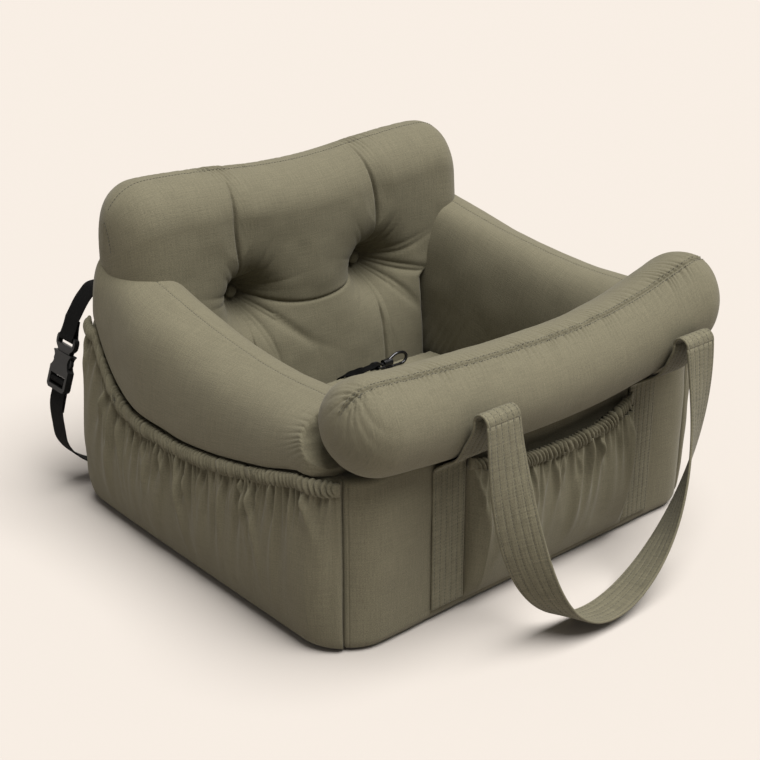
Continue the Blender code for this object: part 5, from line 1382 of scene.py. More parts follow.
def tuft_sink(x, z):
    """How far the front is drawn in: funnels at the buttons and creases from them to the top,
    to the foot and to each other."""
    sink = np.zeros_like(x)
    for side in (-1, 1):
        from_seat = np.hypot(x - side * TUFT_X, z - TUFT_Z)
        from_seat = np.maximum(from_seat - BUTTON_RADIUS, 0)
        funnel = TUFT_DEPTH / (1 + (from_seat / TUFT_REACH) ** 2) ** TUFT_STEEPNESS
        above = np.clip((z - TUFT_Z) / (BACKREST_TOP - TUFT_Z), 0, 1)
        below = np.clip((TUFT_Z - z) / (TUFT_Z - CUSHION_FOOT), 0, 1)
        bow = side * (TUFT_X + CREASE_BOW * np.sin(pi * above) + CREASE_BOW / 2 * below)
        bow = bow - CREASE_LEAN * above
        strength = 1 - CREASE_FOOT_FADE * s_curve(below, 0.1, 0.6)
        strength = strength - CREASE_TOP_FADE * s_curve(above, 0.5, 1.0)
        upright = crease(x - bow, CREASE_DEPTH, CREASE_HALF) * strength
        sink = np.maximum(sink, np.maximum(funnel, upright))
        sink = sink + FUNNEL_BLEND * np.minimum(funnel, upright)
    across = np.clip(np.abs(x) / TUFT_X, 0, 1)
    sag = TUFT_Z - CREASE_SAG * (1 - across**2)
    strength = 0.5 + 0.5 * across**2
    between = crease(z - sag, CREASE_DEPTH, CREASE_HALF) * strength * (np.abs(x) < TUFT_X)
    return sink + LINK_STRENGTH * between


# For each button: direction in half turns, strength and length of its folds
BUTTON_FOLDS = {
    -1: (
        (-0.10, 0.9, 0.050), (-0.19, 1.1, 0.085), (-0.27, 1.0, 0.100), (-0.35, 0.8, 0.095),
        (-0.44, 0.6, 0.070), (-0.53, 0.5, 0.050), (-0.63, 0.45, 0.040), (-0.74, 0.4, 0.035),
        (-0.86, 0.5, 0.040), (1.00, 0.6, 0.045), (0.88, 0.8, 0.048), (0.77, 0.9, 0.042),
        (0.66, 0.7, 0.045), (0.40, 0.6, 0.050), (0.27, 0.5, 0.045), (0.12, 0.4, 0.050),
    ),
    1: (
        (0.06, 0.8, 0.070), (-0.03, 1.0, 0.080), (-0.12, 1.1, 0.090), (-0.21, 1.0, 0.085),
        (-0.30, 0.9, 0.080), (-0.41, 0.6, 0.060), (-0.54, 0.5, 0.050), (-0.68, 0.5, 0.045),
        (-0.80, 0.5, 0.040), (-0.93, 0.5, 0.040), (0.85, 0.5, 0.045), (0.72, 0.6, 0.045),
        (0.62, 0.6, 0.050), (0.38, 0.7, 0.055), (0.27, 0.6, 0.050), (0.16, 0.7, 0.060),
    ),
}


def button_folds(x, z, fold_height):
    """Creases that run out from each button: each starts sharp at its rim, bends a little, widens
    and dies away. Each has its own direction, in half turns from +X, its strength and its length.
    Finer gathers fill the ring round the button."""
    total = np.zeros_like(x)
    for side, folds in BUTTON_FOLDS.items():
        right, up = x - side * TUFT_X, z - TUFT_Z
        gap = np.hypot(right, up)
        for number, (turn_share, strength, length) in enumerate(folds):
            turn = pi * turn_share
            along = right * cos(turn) + up * sin(turn)
            beside = -right * sin(turn) + up * cos(turn)
            beside = beside + FOLD_BEND * (1 if number % 2 else -1) * along**2
            narrow = FOLD_START + FOLD_SPREAD * np.maximum(along, 0)
            valley = (1 - FOLD_VALLEY) * np.exp(-np.abs(beside) / narrow)
            valley = valley + FOLD_VALLEY * bell(beside, FOLD_VALLEY_WIDTH * narrow)
            fade = s_curve(along, *FOLD_RUN_IN) * np.exp(-(along / length) ** 2)
            total = total - strength * valley * fade * (along > 0)
        fine = gathers(np.arctan2(up, right) * RING_RADIUS, RING_PITCH, 91 + side)
        total = total + RING_HEIGHT * fine * s_curve(gap, *RING_RUN_IN) * bell(gap, RING_REACH)
    return total * fold_height


def backrest_grids(sizes):
    """Front and back of the cushion over the same outline: a swell that rises from the edge seam
    as a quarter circle, drawn in by the tufts, creases, folds and edge gathers."""
    inner = BACKREST_HALF - BACKREST_EDGE_ROUND
    lines_x = spaced(0.0, 16, TUFT_X - TUFT_FINE, 68, TUFT_X + TUFT_FINE, 18, inner)
    rim = inner + BACKREST_EDGE_ROUND * np.sin(np.linspace(0, pi / 2, 17))[1:]
    lines_x = np.concatenate([lines_x, rim])
    lines_x = np.concatenate([-lines_x[:0:-1], lines_x])
    foot = CUSHION_FOOT + BACKREST_FOOT_ROUND * (1 - np.cos(np.linspace(0, pi / 2, 10)))
    head = BACKREST_TOP - BACKREST_EDGE_ROUND * (1 - np.sin(np.linspace(0, pi / 2, 23)))
    lines_z = spaced(foot[-1], 34, TUFT_Z - TUFT_FINE, 68, TUFT_Z + TUFT_FINE, 40, head[0])
    lines_z = np.concatenate([foot[:-1], lines_z, head[1:]])
    wide, up = np.meshgrid(lines_x, lines_z)
    top = backrest_top(wide)
    lift = np.clip((up - EAR_HEAD) / (BACKREST_TOP - EAR_HEAD), 0, 1)
    z = up - (BACKREST_TOP - top) * lift
    narrow = ARM_INNER_X + BACKREST_SIDE_TUCK
    ear_share = s_curve(z, EAR_FOOT, EAR_HEAD)
    half = narrow + (BACKREST_HALF - narrow) * ear_share
    keep = TUFT_X + TUFT_SEAT_HALF
    beyond = np.maximum(np.abs(wide) - keep, 0) / (BACKREST_HALF - keep)
    x = np.sign(wide) * (np.minimum(np.abs(wide), keep) + beyond * (half - keep))
    side_round = BACKREST_SIDE_ROUND + (BACKREST_EDGE_ROUND - BACKREST_SIDE_ROUND) * ear_share
    fill = (rounding(half - np.abs(x), side_round) * rounding(top - z, BACKREST_EDGE_ROUND)
            * rounding(z - CUSHION_FOOT, BACKREST_FOOT_ROUND))
    fill[0], fill[-1], fill[:, 0], fill[:, -1] = 0, 0, 0, 0
    height = (z - CUSHION_FOOT) / (BACKREST_TOP - CUSHION_FOOT)
    swell = BACKREST_BASE_SWELL + (BACKREST_TOP_SWELL - BACKREST_BASE_SWELL) * height
    side_edge = half - np.abs(x) + SIDE_SEAM_SHIFT * (z < EAR_HEAD)
    folds = button_folds(x, z, sizes.fold_height) * s_curve(half - np.abs(x), *FOLD_SIDE_FADE)
    sink = np.minimum(tuft_sink(x, z), swell - CLEARANCE) - folds
    edge = np.clip(np.minimum(top - z, side_edge), 0, BACKREST_EDGE_ROUND)
    by_top = s_curve(side_edge - (top - z), -EDGE_BLEND, EDGE_BLEND)
    gather_run = np.where(by_top > 0.5, x, z + SIDE_RUN_START)
    from_seam = BACKREST_EDGE_ROUND * np.arccos(1 - edge / BACKREST_EDGE_ROUND)
    drawn = gathers(gather_run + EDGE_GATHER_LEAN * from_seam, EDGE_GATHER_PITCH, 71)
    drawn = drawn * np.exp(-from_seam / EDGE_GATHER_REACH)
    drawn = drawn * np.abs(2 * by_top - 1)
    above = s_curve(z, EAR_HEAD, EAR_HEAD + EAR_GATHER_RISE)
    change = EDGE_GATHER_CHANGE * smooth_noise(gather_run, EDGE_CHANGE_PITCH, 73)
    drawn = drawn * above * (1 - EDGE_GATHER_CHANGE + change)
    drawn = drawn * sizes.gather_height * EDGE_GATHER_GAIN
    near_crease = bell(np.abs(x) - TUFT_X - CREASE_GATHER_PLACE, CREASE_GATHER_HALF)
    near_crease = near_crease * np.exp(-from_seam / CREASE_GATHER_REACH)
    pulled = gathers(x - CREASE_GATHER_LEAN * (top - z), CREASE_GATHER_PITCH, 75)
    drawn = drawn + near_crease * pulled * CREASE_GATHER_HEIGHT
    soft = slack(x + 1, z, BACKREST_WAVES, 77)
    ease = rounding(edge, BACKREST_SLACK_EDGE)
    front_y = BACKREST_SEAM_Y - (swell - sink) * fill - (drawn + soft * ease) * np.sign(fill)
    outwards = drawn * (1 - edge / BACKREST_EDGE_ROUND)
    x = x + np.sign(x) * outwards * (1 - by_top)
    z = z + outwards * by_top
    over = np.clip((z - TUFT_Z) / TUFT_SEAT_HALF, 0, 1)
    back_y = BACKREST_SEAM_Y + (BACKREST_BACK_SWELL + BACKREST_OVERHANG * over) * fill
    loose = drawn * BACK_GATHER_SHARE + soft * BACK_SLACK_SHARE * ease * over
    back_y = back_y + loose * np.sign(fill)
    return np.stack([x, front_y, z], axis=-1), np.stack([x, back_y, z], axis=-1)


def build_backrest(sizes):
    """The cushion, a row of thread inside its top and side edges, and its buttons."""
    front, back = backrest_grids(sizes)
    cushion = pillow("backrest", front, back)
    upholster(cushion, ["backrest_cushion"])
    normals = grid_normals(front, False)
    normals *= -np.sign(normals[..., 1].mean())
    lines = []
    keep = np.abs(front[-3, :, 0]) < BACKREST_HALF - BACKREST_THREAD_END
    picks = [(-3, keep)]
    for column in (2, -3):
        picks.append((front[:, column, 2] > ARM_CREST_BACK, column))
    for pick in picks:
        lines.append((front[pick] + normals[pick] * THREAD_LIFT, normals[pick]))
    sew("backrest_stitches", lines, sizes)
    for side, sign in (("left", -1), ("right", 1)):
        build_button(side, sign)


def build_button(side, sign):
    """A cloth-covered button: a shallow dome turned about its own axis, its cloth drawn in
    small pleats round the rim."""
    profile = np.array(BUTTON_PROFILE).T
    at = np.linspace(0, len(BUTTON_PROFILE) - 1, 40)[1:]
    radius_shares, rise_shares = [np.interp(at, np.arange(len(BUTTON_PROFILE)), row) for row in profile]
    turn = np.arange(96) / 96 * 2 * pi
    pleat = 1 + BUTTON_PLEAT * np.cos(turn * BUTTON_PLEATS) * s_curve(radius_shares, 0.6, 1.0)[:, None]
    radius = BUTTON_RADIUS * radius_shares[:, None] * pleat
    x = sign * TUFT_X + radius * np.cos(turn)
    z = TUFT_Z + radius * np.sin(turn)
    y = np.broadcast_to((BUTTON_HIGH[1] - BUTTON_THICKNESS * rise_shares)[:, None], x.shape)
    button = loft(side + "_button", np.stack([x, y, z], axis=-1))
    finish_piece(button, trim_cloth(), "seat", [side + "_tuft_button"])


# Seat cushion

def build_seat_cushion(sizes):
    """A low crowned cushion: a quarter circle at each edge, a crown that falls off as a square
    towards the sides, and the shallow dents that a dog leaves."""
    x_lines = edge_lines(-SEAT_HALF, SEAT_HALF, SEAT_EDGE, SEAT_EDGE, 9, 130)
    y_lines = edge_lines(SEAT_FRONT, SEAT_BACK, SEAT_EDGE, SEAT_EDGE, 9, 110)
    x, y = np.meshgrid(x_lines, y_lines)
    from_side, from_end = SEAT_HALF - np.abs(x), np.minimum(y - SEAT_FRONT, SEAT_BACK - y)
    edge = np.minimum(from_side, from_end)
    fill = rounding(from_side, SEAT_EDGE) * rounding(from_end, SEAT_EDGE)
    fill[0], fill[-1], fill[:, 0], fill[:, -1] = 0, 0, 0, 0
    middle = (SEAT_FRONT + SEAT_BACK) / 2
    crown = SEAT_CROWN * ((x / SEAT_HALF) ** 2 + ((y - middle) / (SEAT_BACK - middle)) ** 2)
    seam = CUSHION_FOOT + SEAT_CROWN
    soft = slack(x + 1, y + 1, SEAT_WAVES, 81)
    run = np.where(from_side < from_end, y, x)
    drawn = gathers(run, SEAT_GATHER_PITCH, 85) * np.exp(-edge / SEAT_GATHER_REACH) * sizes.gather_height
    top = seam + (SEAT_HEIGHT - crown - SEAT_SINK - seam) * fill
    top = top + (soft + drawn) * np.sign(fill) * rounding(edge, SEAT_SLACK_EDGE)
    low = seam - SEAT_CROWN * np.sqrt(fill)
    cushion = pillow("seat_pad", np.stack([x, y, top], axis=-1), np.stack([x, y, low], axis=-1))
    upholster(cushion, ["seat_cushion"])


# Pockets

def pleats(run, drop, length, count, seed, height):
    """Gathers that hang from a hem: each is a ridge that starts at the hem, leans a little,
    widens and dies away. drop is the distance below the hem."""
    random = np.random.default_rng(seed)
    places = (np.arange(count) + 0.5 + random.uniform(-PLEAT_SHIFT, PLEAT_SHIFT, count)) / count * length
    halves = random.uniform(*PLEAT_HALVES, count)
    strengths = random.uniform(*PLEAT_STRENGTHS, count)
    reaches = random.uniform(*PLEAT_REACHES, count)
    leans = random.uniform(-PLEAT_LEAN, PLEAT_LEAN, count) + PLEAT_FAN * (places / length - 0.5)
    total = np.zeros_like(run)
    for place, half, strength, reach, lean in zip(places, halves, strengths, reaches, leans):
        wide = half * (1 + drop / PLEAT_SPREAD)
        total += strength * bell(run - place - lean * drop, wide) * np.exp(-(drop / reach) ** PLEAT_FADE)
    return (total - PLEAT_LEVEL) * height


def end_taper(run, length):
    """0 at both ends of a pocket's mouth and 1 a sixteenth of its length further in."""
    return np.sqrt(np.clip(np.minimum(run, length - run) * POCKET_END_SHARE / length, 0, 1))


def pocket_face(run, length, share, drop, hem_offset, bulge, count, seed, height):
    """Distance of the pocket's cloth from the wall at a share of its height."""
    ends = end_taper(run, length)
    low_offset, high_offset = 2 * CLEARANCE, hem_offset - POCKET_CLOTH
    swell = bulge * np.sin(pi * share**POCKET_SWELL_POWER) * ends
    from_end = np.minimum(run, length - run)
    hang = s_curve(share, 0.0, PLEAT_FREE_SHARE) * s_curve(from_end, 0.0, PLEAT_END)
    fold = pleats(run, drop, length, count, seed, height) * hang
    soft = slack(run, drop, POCKET_WAVES, seed + 2) * hang
    return low_offset + (high_offset - low_offset) * share * ends + swell + fold + soft


def sheet_rings(place_at, run, top, offset_at, foot):
    """A cloth sheet as rings across its thickness: up the outer face and down the inner one.
    At its foot the outer face follows the wall's round lower edge."""
    up = edge_lines(0.0, 1.0, 0.08, 0.02, 7, 46)
    down = np.linspace(1, 0, 16)
    rings = []
    for shares, lift in ((up, POCKET_CLOTH), (down, 0.0)):
        z = foot + (top[:, None] - foot) * shares
        grid = np.broadcast_to(run[:, None], z.shape)
        offset = offset_at(grid, np.broadcast_to(shares, z.shape), top[:, None] - z) + lift
        tuck = WALL_EDGE * (1 - rounding(z - WALL_LIFT, WALL_EDGE)) * (foot < WALL_EDGE)
        plan = place_at(grid, tuck - offset)
        rings.append(np.concatenate([plan, z[..., None]], axis=-1))
    return leaned(np.concatenate(rings, axis=1))


def hem_rings(place_at, run, height, offset, seed):
    """An elastic hem: an upright oval section carried along the wall, ridged all round by
    gathers that lean as they go round it."""
    turn = np.arange(26) / 26 * 2 * pi
    grid = np.broadcast_to(run[:, None], (len(run), len(turn)))
    wander = HEM_WANDER * smooth_noise(grid, HEM_WANDER_PITCH, seed)
    lean = HEM_SPIRAL * np.sin(turn) + wander * np.cos(2 * turn)
    ridge = gathers(grid + lean, HEM_GATHER_PITCH, seed + 1)
    swell = 1 + HEM_SWELL * smooth_noise(grid, HEM_SWELL_PITCH, seed + 2)
    across = np.sign(np.cos(turn)) * np.abs(np.cos(turn)) ** HEM_ROUNDNESS
    full = s_curve(np.minimum(run - run[0], run[-1] - run), 0.0, HEM_END)[:, None]
    ridge = ridge * full
    body = HEM_HALF_THICKNESS * (HEM_END_SHARE + (1 - HEM_END_SHARE) * full) * swell
    wide = (body + HEM_RIDGE * ridge) * across
    high = (HEM_HALF_HEIGHT + HEM_RIDGE / 2 * ridge) * np.sin(turn)
    plan = place_at(grid, -(offset[:, None] + wide))
    z = height[:, None] + high
    return leaned(np.concatenate([plan, z[..., None]], axis=-1))


def build_pocket(side, sizes, place_at, length, foot, hem, band, out, shape, seed):
    """A pocket's gathered cloth, its elastic hem and the hem's stitches. hem and band are the
    hem's run, height and distance from the wall, for the cloth and for the elastic."""
    run, height, offset = hem
    top = height - HEM_HALF_HEIGHT * POCKET_TUCK
    def offset_at(grid, share, drop):
        return pocket_face(grid, length, share, drop, *shape, seed, sizes.pleat_height)
    sheet = loft(side + "_pocket_cloth", sheet_rings(place_at, run, top, offset_at, foot))
    upholster(sheet, [side + "_pocket"])
    elastic = loft(side + "_hem", hem_rings(place_at, *band, seed + 10))
    finish_piece(elastic, trim_cloth(), "seat", [side + "_pocket_hem"])
    stitch_offset = offset + HEM_HALF_THICKNESS * POCKET_TUCK
    points = leaned(np.column_stack([place_at(run, -stitch_offset), top + HEM_STITCH_RISE]))
    sew(side + "_hem_stitches", [(points, out)], sizes)


def build_side_pocket(side, sizes, seed):
    """A side pocket, whose hem follows the rim and draws in to the wall at its ends."""
    length = side_length(side)
    def place_at(grid, inset):
        return side_line(side, grid, inset)[0]
    def hem_at(run):
        plan = place_at(run, 0.0)
        close = HEM_HALF_THICKNESS + HEM_WALL_GAP
        drawn = SIDE_HEM_BACK_DRAW * s_curve(plan[:, 1], HALF_DEPTH / 3, STRAIGHT_Y)
        offset = close + (SIDE_HEM_OFFSET - close) * end_taper(run, length) * (1 - drawn)
        return rim_height(plan[:, 1]) - HEM_DROP, offset
    run, band_run = [spaced(SIDE_POCKET_INSET, count, length - SIDE_POCKET_INSET) for count in (720, 900)]
    height, offset = hem_at(run)
    out = np.column_stack([side_line(side, run)[1], np.zeros(len(run))])
    build_pocket(side, sizes, place_at, length, POCKET_FOOT, (run, height, offset),
                 (band_run, hem_at(band_run)[0], np.interp(band_run, run, offset)), out,
                 (SIDE_HEM_OFFSET, SIDE_POCKET_BULGE, SIDE_PLEATS), seed)


def build_front_pocket(sizes):
    """The front pocket, whose hem sags as a parabola between the handle's strips."""
    half = WEBBING_WIDTH / 2 + CLEARANCE
    left, right = FRONT_HANDLE_LEFT + half, FRONT_HANDLE_RIGHT - half
    length = right - left
    def place_at(grid, inset):
        return np.stack([left + grid, -HALF_DEPTH + inset], axis=-1)
    def hem_at(run):
        share = (2 * run / length - 1) ** 2
        height = FRONT_HEM_MIDDLE + (FRONT_HEM_END - FRONT_HEM_MIDDLE) * share
        return run, height, FRONT_HEM_OFFSET + (FRONT_HEM_END_OFFSET - FRONT_HEM_OFFSET) * share**2
    run, band_run = [np.linspace(0, length, count) for count in (400, 560)]
    out = np.tile((0.0, -1.0, 0.0), (len(run), 1))
    build_pocket("front", sizes, place_at, length, BOTTOM_TOP, hem_at(run), hem_at(band_run), out,
                 (FRONT_HEM_OFFSET, FRONT_POCKET_BULGE, FRONT_PLEATS), 211)


# Webbing

def strap_directions(path, across, along=None):
    """Unit vectors along the webbing, across it and out of its face at each point."""
    if along is None:
        along = unit(np.gradient(path, axis=0))
    across = unit(across - (across * along).sum(1)[:, None] * along)
    return along, across, np.cross(along, across)


def webbing_rings(path, across, face, width, thickness, row_shares, ribs):
    """Webbing: a flat section with round edges, shallow dips along its stitch rows and low ribs,
    carried along the path."""
    edge = thickness / width
    t = edge_lines(-1.0, 1.0, edge, edge, 3, 48)
    profile = thickness / 2 * rounding(1 - np.abs(t), edge)
    for row in row_shares:
        profile = profile - STITCH_DIP * bell(t - row, STITCH_DIP_HALF)
    profile = profile - ribs * (1 - np.cos(t * pi * WEBBING_RIBS)) / 2 * (np.abs(t) < WEBBING_SELVEDGE)
    profile[[0, -1]] = 0.0
    wide = np.concatenate([t, t[-2:0:-1]]) * width / 2
    high = np.concatenate([profile, -profile[-2:0:-1]])
    return path[:, None] + wide[None, :, None] * across[:, None] + high[None, :, None] * face[:, None]


def add_webbing(name, path, across, slot, material, body=None, nodes=(), along=None, bend=None,
                width=WEBBING_WIDTH, thickness=WEBBING_THICKNESS, rows=STITCH_ROW_SHARES,
                ribs=0.0, sizes=None):
    """One length of webbing, and the thread of its stitch rows on both faces."""
    along, across, face = strap_directions(path, across, along)
    rings = webbing_rings(path, across, face, width, thickness, rows, ribs)
    strap = loft(name, rings, webbing_uv(path, rings, width))
    finish_piece(strap, material, body, nodes, across=bend)
    if not rows:
        return
    lines = []
    for row in rows:
        for side in (1, -1):
            line = path + row * width / 2 * across + side * (thickness / 2 - STITCH_DIP) * face
            lines.append((line, side * face))
    bars = stitch_bars(name + "_stitches", lines, sizes)
    finish_piece(bars, cover_thread(), body, across=bend)


def webbing_uv(path, rings, width):
    """UV in metres: along the webbing and across its width, the same on both faces."""
    run = arc_length(path)
    columns = rings.shape[1] + 1
    around = np.abs(np.linspace(-1, 1, columns)) * width
    u, v = np.meshgrid(run, around, indexing="ij")
    return np.stack([u, v], axis=-1)


def front_strip_path(x):
    """Up the front panel, then round under the roll to the handle's fold."""
    half = WEBBING_THICKNESS / 2
    flat_y = -HALF_DEPTH - CLEARANCE - half
    fold_y, fold_z = FRONT_FOLD
    edges = np.array([x - WEBBING_WIDTH / 2, x + WEBBING_WIDTH / 2])
    centre_z = float(roll_height(edges).min())
    centre_y = ROLL_BACK_Y - float(roll_radius(x))
    around = float(roll_radius(edges).max()) + half + 4 * CLEARANCE
    reach = fold_y + FOLD_RADIUS
    foot = BOTTOM_TOP + STRIP_FOOT
    route = [(x, flat_y, foot), (x, flat_y, centre_z / 2)]
    for drop in (4, 3):
        route.append((x, flat_y, centre_z - around - drop * WEBBING_THICKNESS))
    for angle in UNDER_ROLL_ANGLES:
        route.append((x, centre_y + around * cos(angle), centre_z + around * sin(angle)))
    route.append((x, reach, fold_z - FOLD_RADIUS / 2))
    route.append((x, reach, fold_z))
    return smooth_route(route, 130)


def fold_path(x, fold, side):
    """The half turn of webbing over the top of a handle's hinge line."""
    y, z = fold
    turn = np.linspace(0, pi, 26)
    return np.column_stack([np.full(len(turn), x), y - side * FOLD_RADIUS * np.cos(turn),
                            z + FOLD_RADIUS * np.sin(turn)])


def handle_path(left, right, fold, side, drop, tilt, skew):
    """Half an ellipse whose webbing turns edge-on towards its low point: the path, its width
    direction and its run direction."""
    y, z = fold
    turn = np.linspace(0, pi, 240)
    middle, reach = (left + right) / 2, (right - left) / 2
    x = middle - reach * np.cos(turn) - skew * np.sin(turn) ** 2
    down = drop * np.sin(turn) ** HANDLE_SAG_POWER
    start_y = y + side * FOLD_RADIUS
    path = np.column_stack([x, start_y + side * down * sin(tilt), z - down * cos(tilt)])
    along = np.gradient(path, axis=0)
    along[0], along[-1] = (0, 0, -1), (0, 0, 1)
    along = unit(along)
    outwards = np.array([0.0, side * cos(tilt), sin(tilt)])
    in_plane = np.cross(outwards, along)
    twist = pi / 2 * np.sin(turn) ** HANDLE_TWIST_POWER
    across = np.cos(twist)[:, None] * in_plane - side * np.sin(twist)[:, None] * outwards
    return path, across, along


def build_handles(sizes):
    """Both handles, each with its two strips and folds."""
    webbing = handle_webbing()
    sets = (
        ("front", -1, FRONT_FOLD, FRONT_HANDLE_LEFT, FRONT_HANDLE_RIGHT, FRONT_HANDLE_DROP,
         FRONT_HANDLE_TILT, FRONT_HANDLE_SKEW),
        ("back", 1, BACK_FOLD, -BACK_HALF_SPAN, BACK_HALF_SPAN, BACK_HANDLE_DROP, BACK_HANDLE_TILT, 0.0),
    )
    for end, side, fold, left, right, drop, tilt, skew in sets:
        body = end + "_handle"
        for word, x in (("left", left), ("right", right)):
            if end == "front":
                strip = front_strip_path(x)
            else:
                flat_y = HALF_DEPTH + CLEARANCE + WEBBING_THICKNESS / 2
                strip = np.column_stack([np.full(90, x), np.full(90, flat_y),
                                         np.linspace(BOTTOM_TOP + STRIP_FOOT, fold[1], 90)])
            add_webbing(f"{end}_{word}_strip_webbing", strip, SIDEWAYS, "olive_webbing", webbing, "seat",
                        [f"{end}_{word}_strip"], sizes=sizes)
            turn = fold_path(x, fold, side)
            along = np.gradient(turn, axis=0)
            along[0], along[-1] = (0, 0, 1), (0, 0, -1)
            along = unit(along)
            add_webbing(f"{end}_{word}_fold_webbing", turn, SIDEWAYS, "olive_webbing", webbing, None,
                        [f"{end}_{word}_fold"], along=along, sizes=sizes,
                        bend=(("seat", body), tuple(turn[0]), tuple(turn[-1])))
        path, across, along = handle_path(left, right, fold, side, drop, tilt, skew)
        add_webbing(end + "_handle_webbing", path, across, "olive_webbing", webbing, body,
                    [end + "_handle"], along=along, sizes=sizes)


# Seat strap

def strap_point(along, out):
    """World place of a point on the buckle's middle plane."""
    x, z = BUCKLE_PLACE
    return (x + along * sin(BUCKLE_TILT) - out * cos(BUCKLE_TILT), STRAP_Y,
            z + along * cos(BUCKLE_TILT) + out * sin(BUCKLE_TILT))


def bar_turn(place, radius, start, end, steps):
    """Route points round a bar across the buckle, from one angle to another."""
    return [strap_point(place + radius * cos(angle), radius * sin(angle))
            for angle in np.linspace(radians(start), radians(end), steps)]


def back_run(route_shares, x, z):
    """A strap behind the seat: places in strap widths from (x, z), each with how far its width
    has turned from along X, flat on the back panel, to along Y, standing out from it."""
    wall_y = HALF_DEPTH + CLEARANCE + STRAP_THICKNESS / 2
    route, across = [], []
    for x_share, z_share, turn_share in route_shares:
        turn = turn_share * pi / 2
        y = wall_y + (STRAP_Y - wall_y) * sin(turn)
        route.append((x + STRAP_WIDTH * x_share, y, z + STRAP_WIDTH * z_share))
        across.append((cos(turn), sin(turn), 0.0))
    return route, across


def joined_routes(parts):
    """One path from several routes in a row, with the width direction at each point."""
    pieces = []
    for route, across, count in parts:
        both = smooth_route(np.hstack([np.asarray(route, float), np.asarray(across, float)]), count)
        pieces.append(both if not pieces else both[1:])
    both = np.vstack(pieces)
    return both[:, :3], both[:, 3:]


def short_strap_path():
    """From the left anchor on the back panel to a sewn loop round the plug's bar."""
    layer = STRAP_THICKNESS / 2 + CLEARANCE
    bar = PLUG_LENGTH - PLUG_BAR / 2
    turn = PLUG_BAR_THICKNESS / 2 + STRAP_THICKNESS / 2 + 4 * CLEARANCE
    end = bar + STRAP_TAIL
    run_shares = [(0, -0.93, 0), (0, -0.10, 0), (0, 0.05, 0), (-0.03, 0.35, 0.22), (-0.18, 0.68, 0.55),
                  (-0.50, 0.92, 0.85), (-0.95, 0.95, 1), (-1.35, 0.66, 1)]
    run, across = back_run(run_shares, -ANCHOR_X, ANCHOR_TOP + STRAP_THICKNESS)
    run.append(strap_point(end, layer))
    across.append((0, 1, 0))
    near = [strap_point(end, layer), strap_point(end - STRAP_TAIL / 3, layer * 1.3),
            strap_point(bar + turn, turn * 0.8)]
    loop = bar_turn(bar, turn, 90, 270, 9)
    back = [strap_point(bar + turn, -turn * 0.8), strap_point(end - STRAP_TAIL / 3, -layer * 1.3),
            strap_point(end - CLEARANCE, -layer)]
    wrap = near + loop + back
    return joined_routes([(run, across, 90), (wrap, [(0, 1, 0)] * len(wrap), 110)])


def long_strap_path():
    """From the tail in the ladder lock, down to the floor, behind the seat and up its right."""
    floor = CLEARANCE + STRAP_THICKNESS / 2
    first = -STRAP_THICKNESS / 2 - CLEARANCE - BUCKLE_THICKNESS / 9
    second = first - STRAP_THICKNESS - CLEARANCE
    turn = LADDER_BAR / 2 + STRAP_THICKNESS / 2 + 3 * CLEARANCE
    tail_end = -SOCKET_LENGTH - STRAP_TAIL
    wrap = [strap_point(tail_end, second * 1.35), strap_point(-SOCKET_LENGTH, second * 1.06),
            strap_point(LADDER_END_PLACE, second)]
    wrap += bar_turn(LADDER_BAR_PLACE, turn, 285, 360, 4) + bar_turn(LADDER_BAR_PLACE, turn, 18, 180, 8)
    wrap += [strap_point(LADDER_END_PLACE, first), strap_point(-SOCKET_LENGTH, first)]
    low = strap_point(-SOCKET_LENGTH - STRAP_TAIL * 0.6, first)
    run = [wrap[-1], low]
    down_shares = [(0.0, 0.71), (0.02, 0.55), (0.12, 0.38), (0.28, 0.24), (0.52, 0.11), (0.80, 0.03)]
    for across_share, up_share in down_shares:
        run.append((low[0] + low[2] * across_share, STRAP_Y, floor + (low[2] - floor) * up_share))
    run += [(low[0] + low[2], STRAP_Y, floor), (low[0] + 1.2 * low[2], STRAP_Y, floor)]
    rise_shares = [(-2, 0, 1), (-1.2, 0, 1), (-0.7, 0.06, 1), (-0.32, 0.26, 1), (-0.08, 0.62, 1),
                   (0, 1.05, 0.95), (0, 1.6, 0.75), (0, 2.3, 0.4), (0, 3.0, 0.1), (0, 3.4, 0),
                   (0, 3.8, 0)]
    rise, turning = back_run(rise_shares, ANCHOR_X, floor)
    run.append(rise[0])
    rise.append((ANCHOR_X, rise[-1][1], ANCHOR_TOP + STRAP_THICKNESS))
    turning.append((1, 0, 0))
    return joined_routes([(wrap, [(0, 1, 0)] * len(wrap), 100), (run, [(0, 1, 0)] * len(run), 90),
                          (rise, turning, 80)])


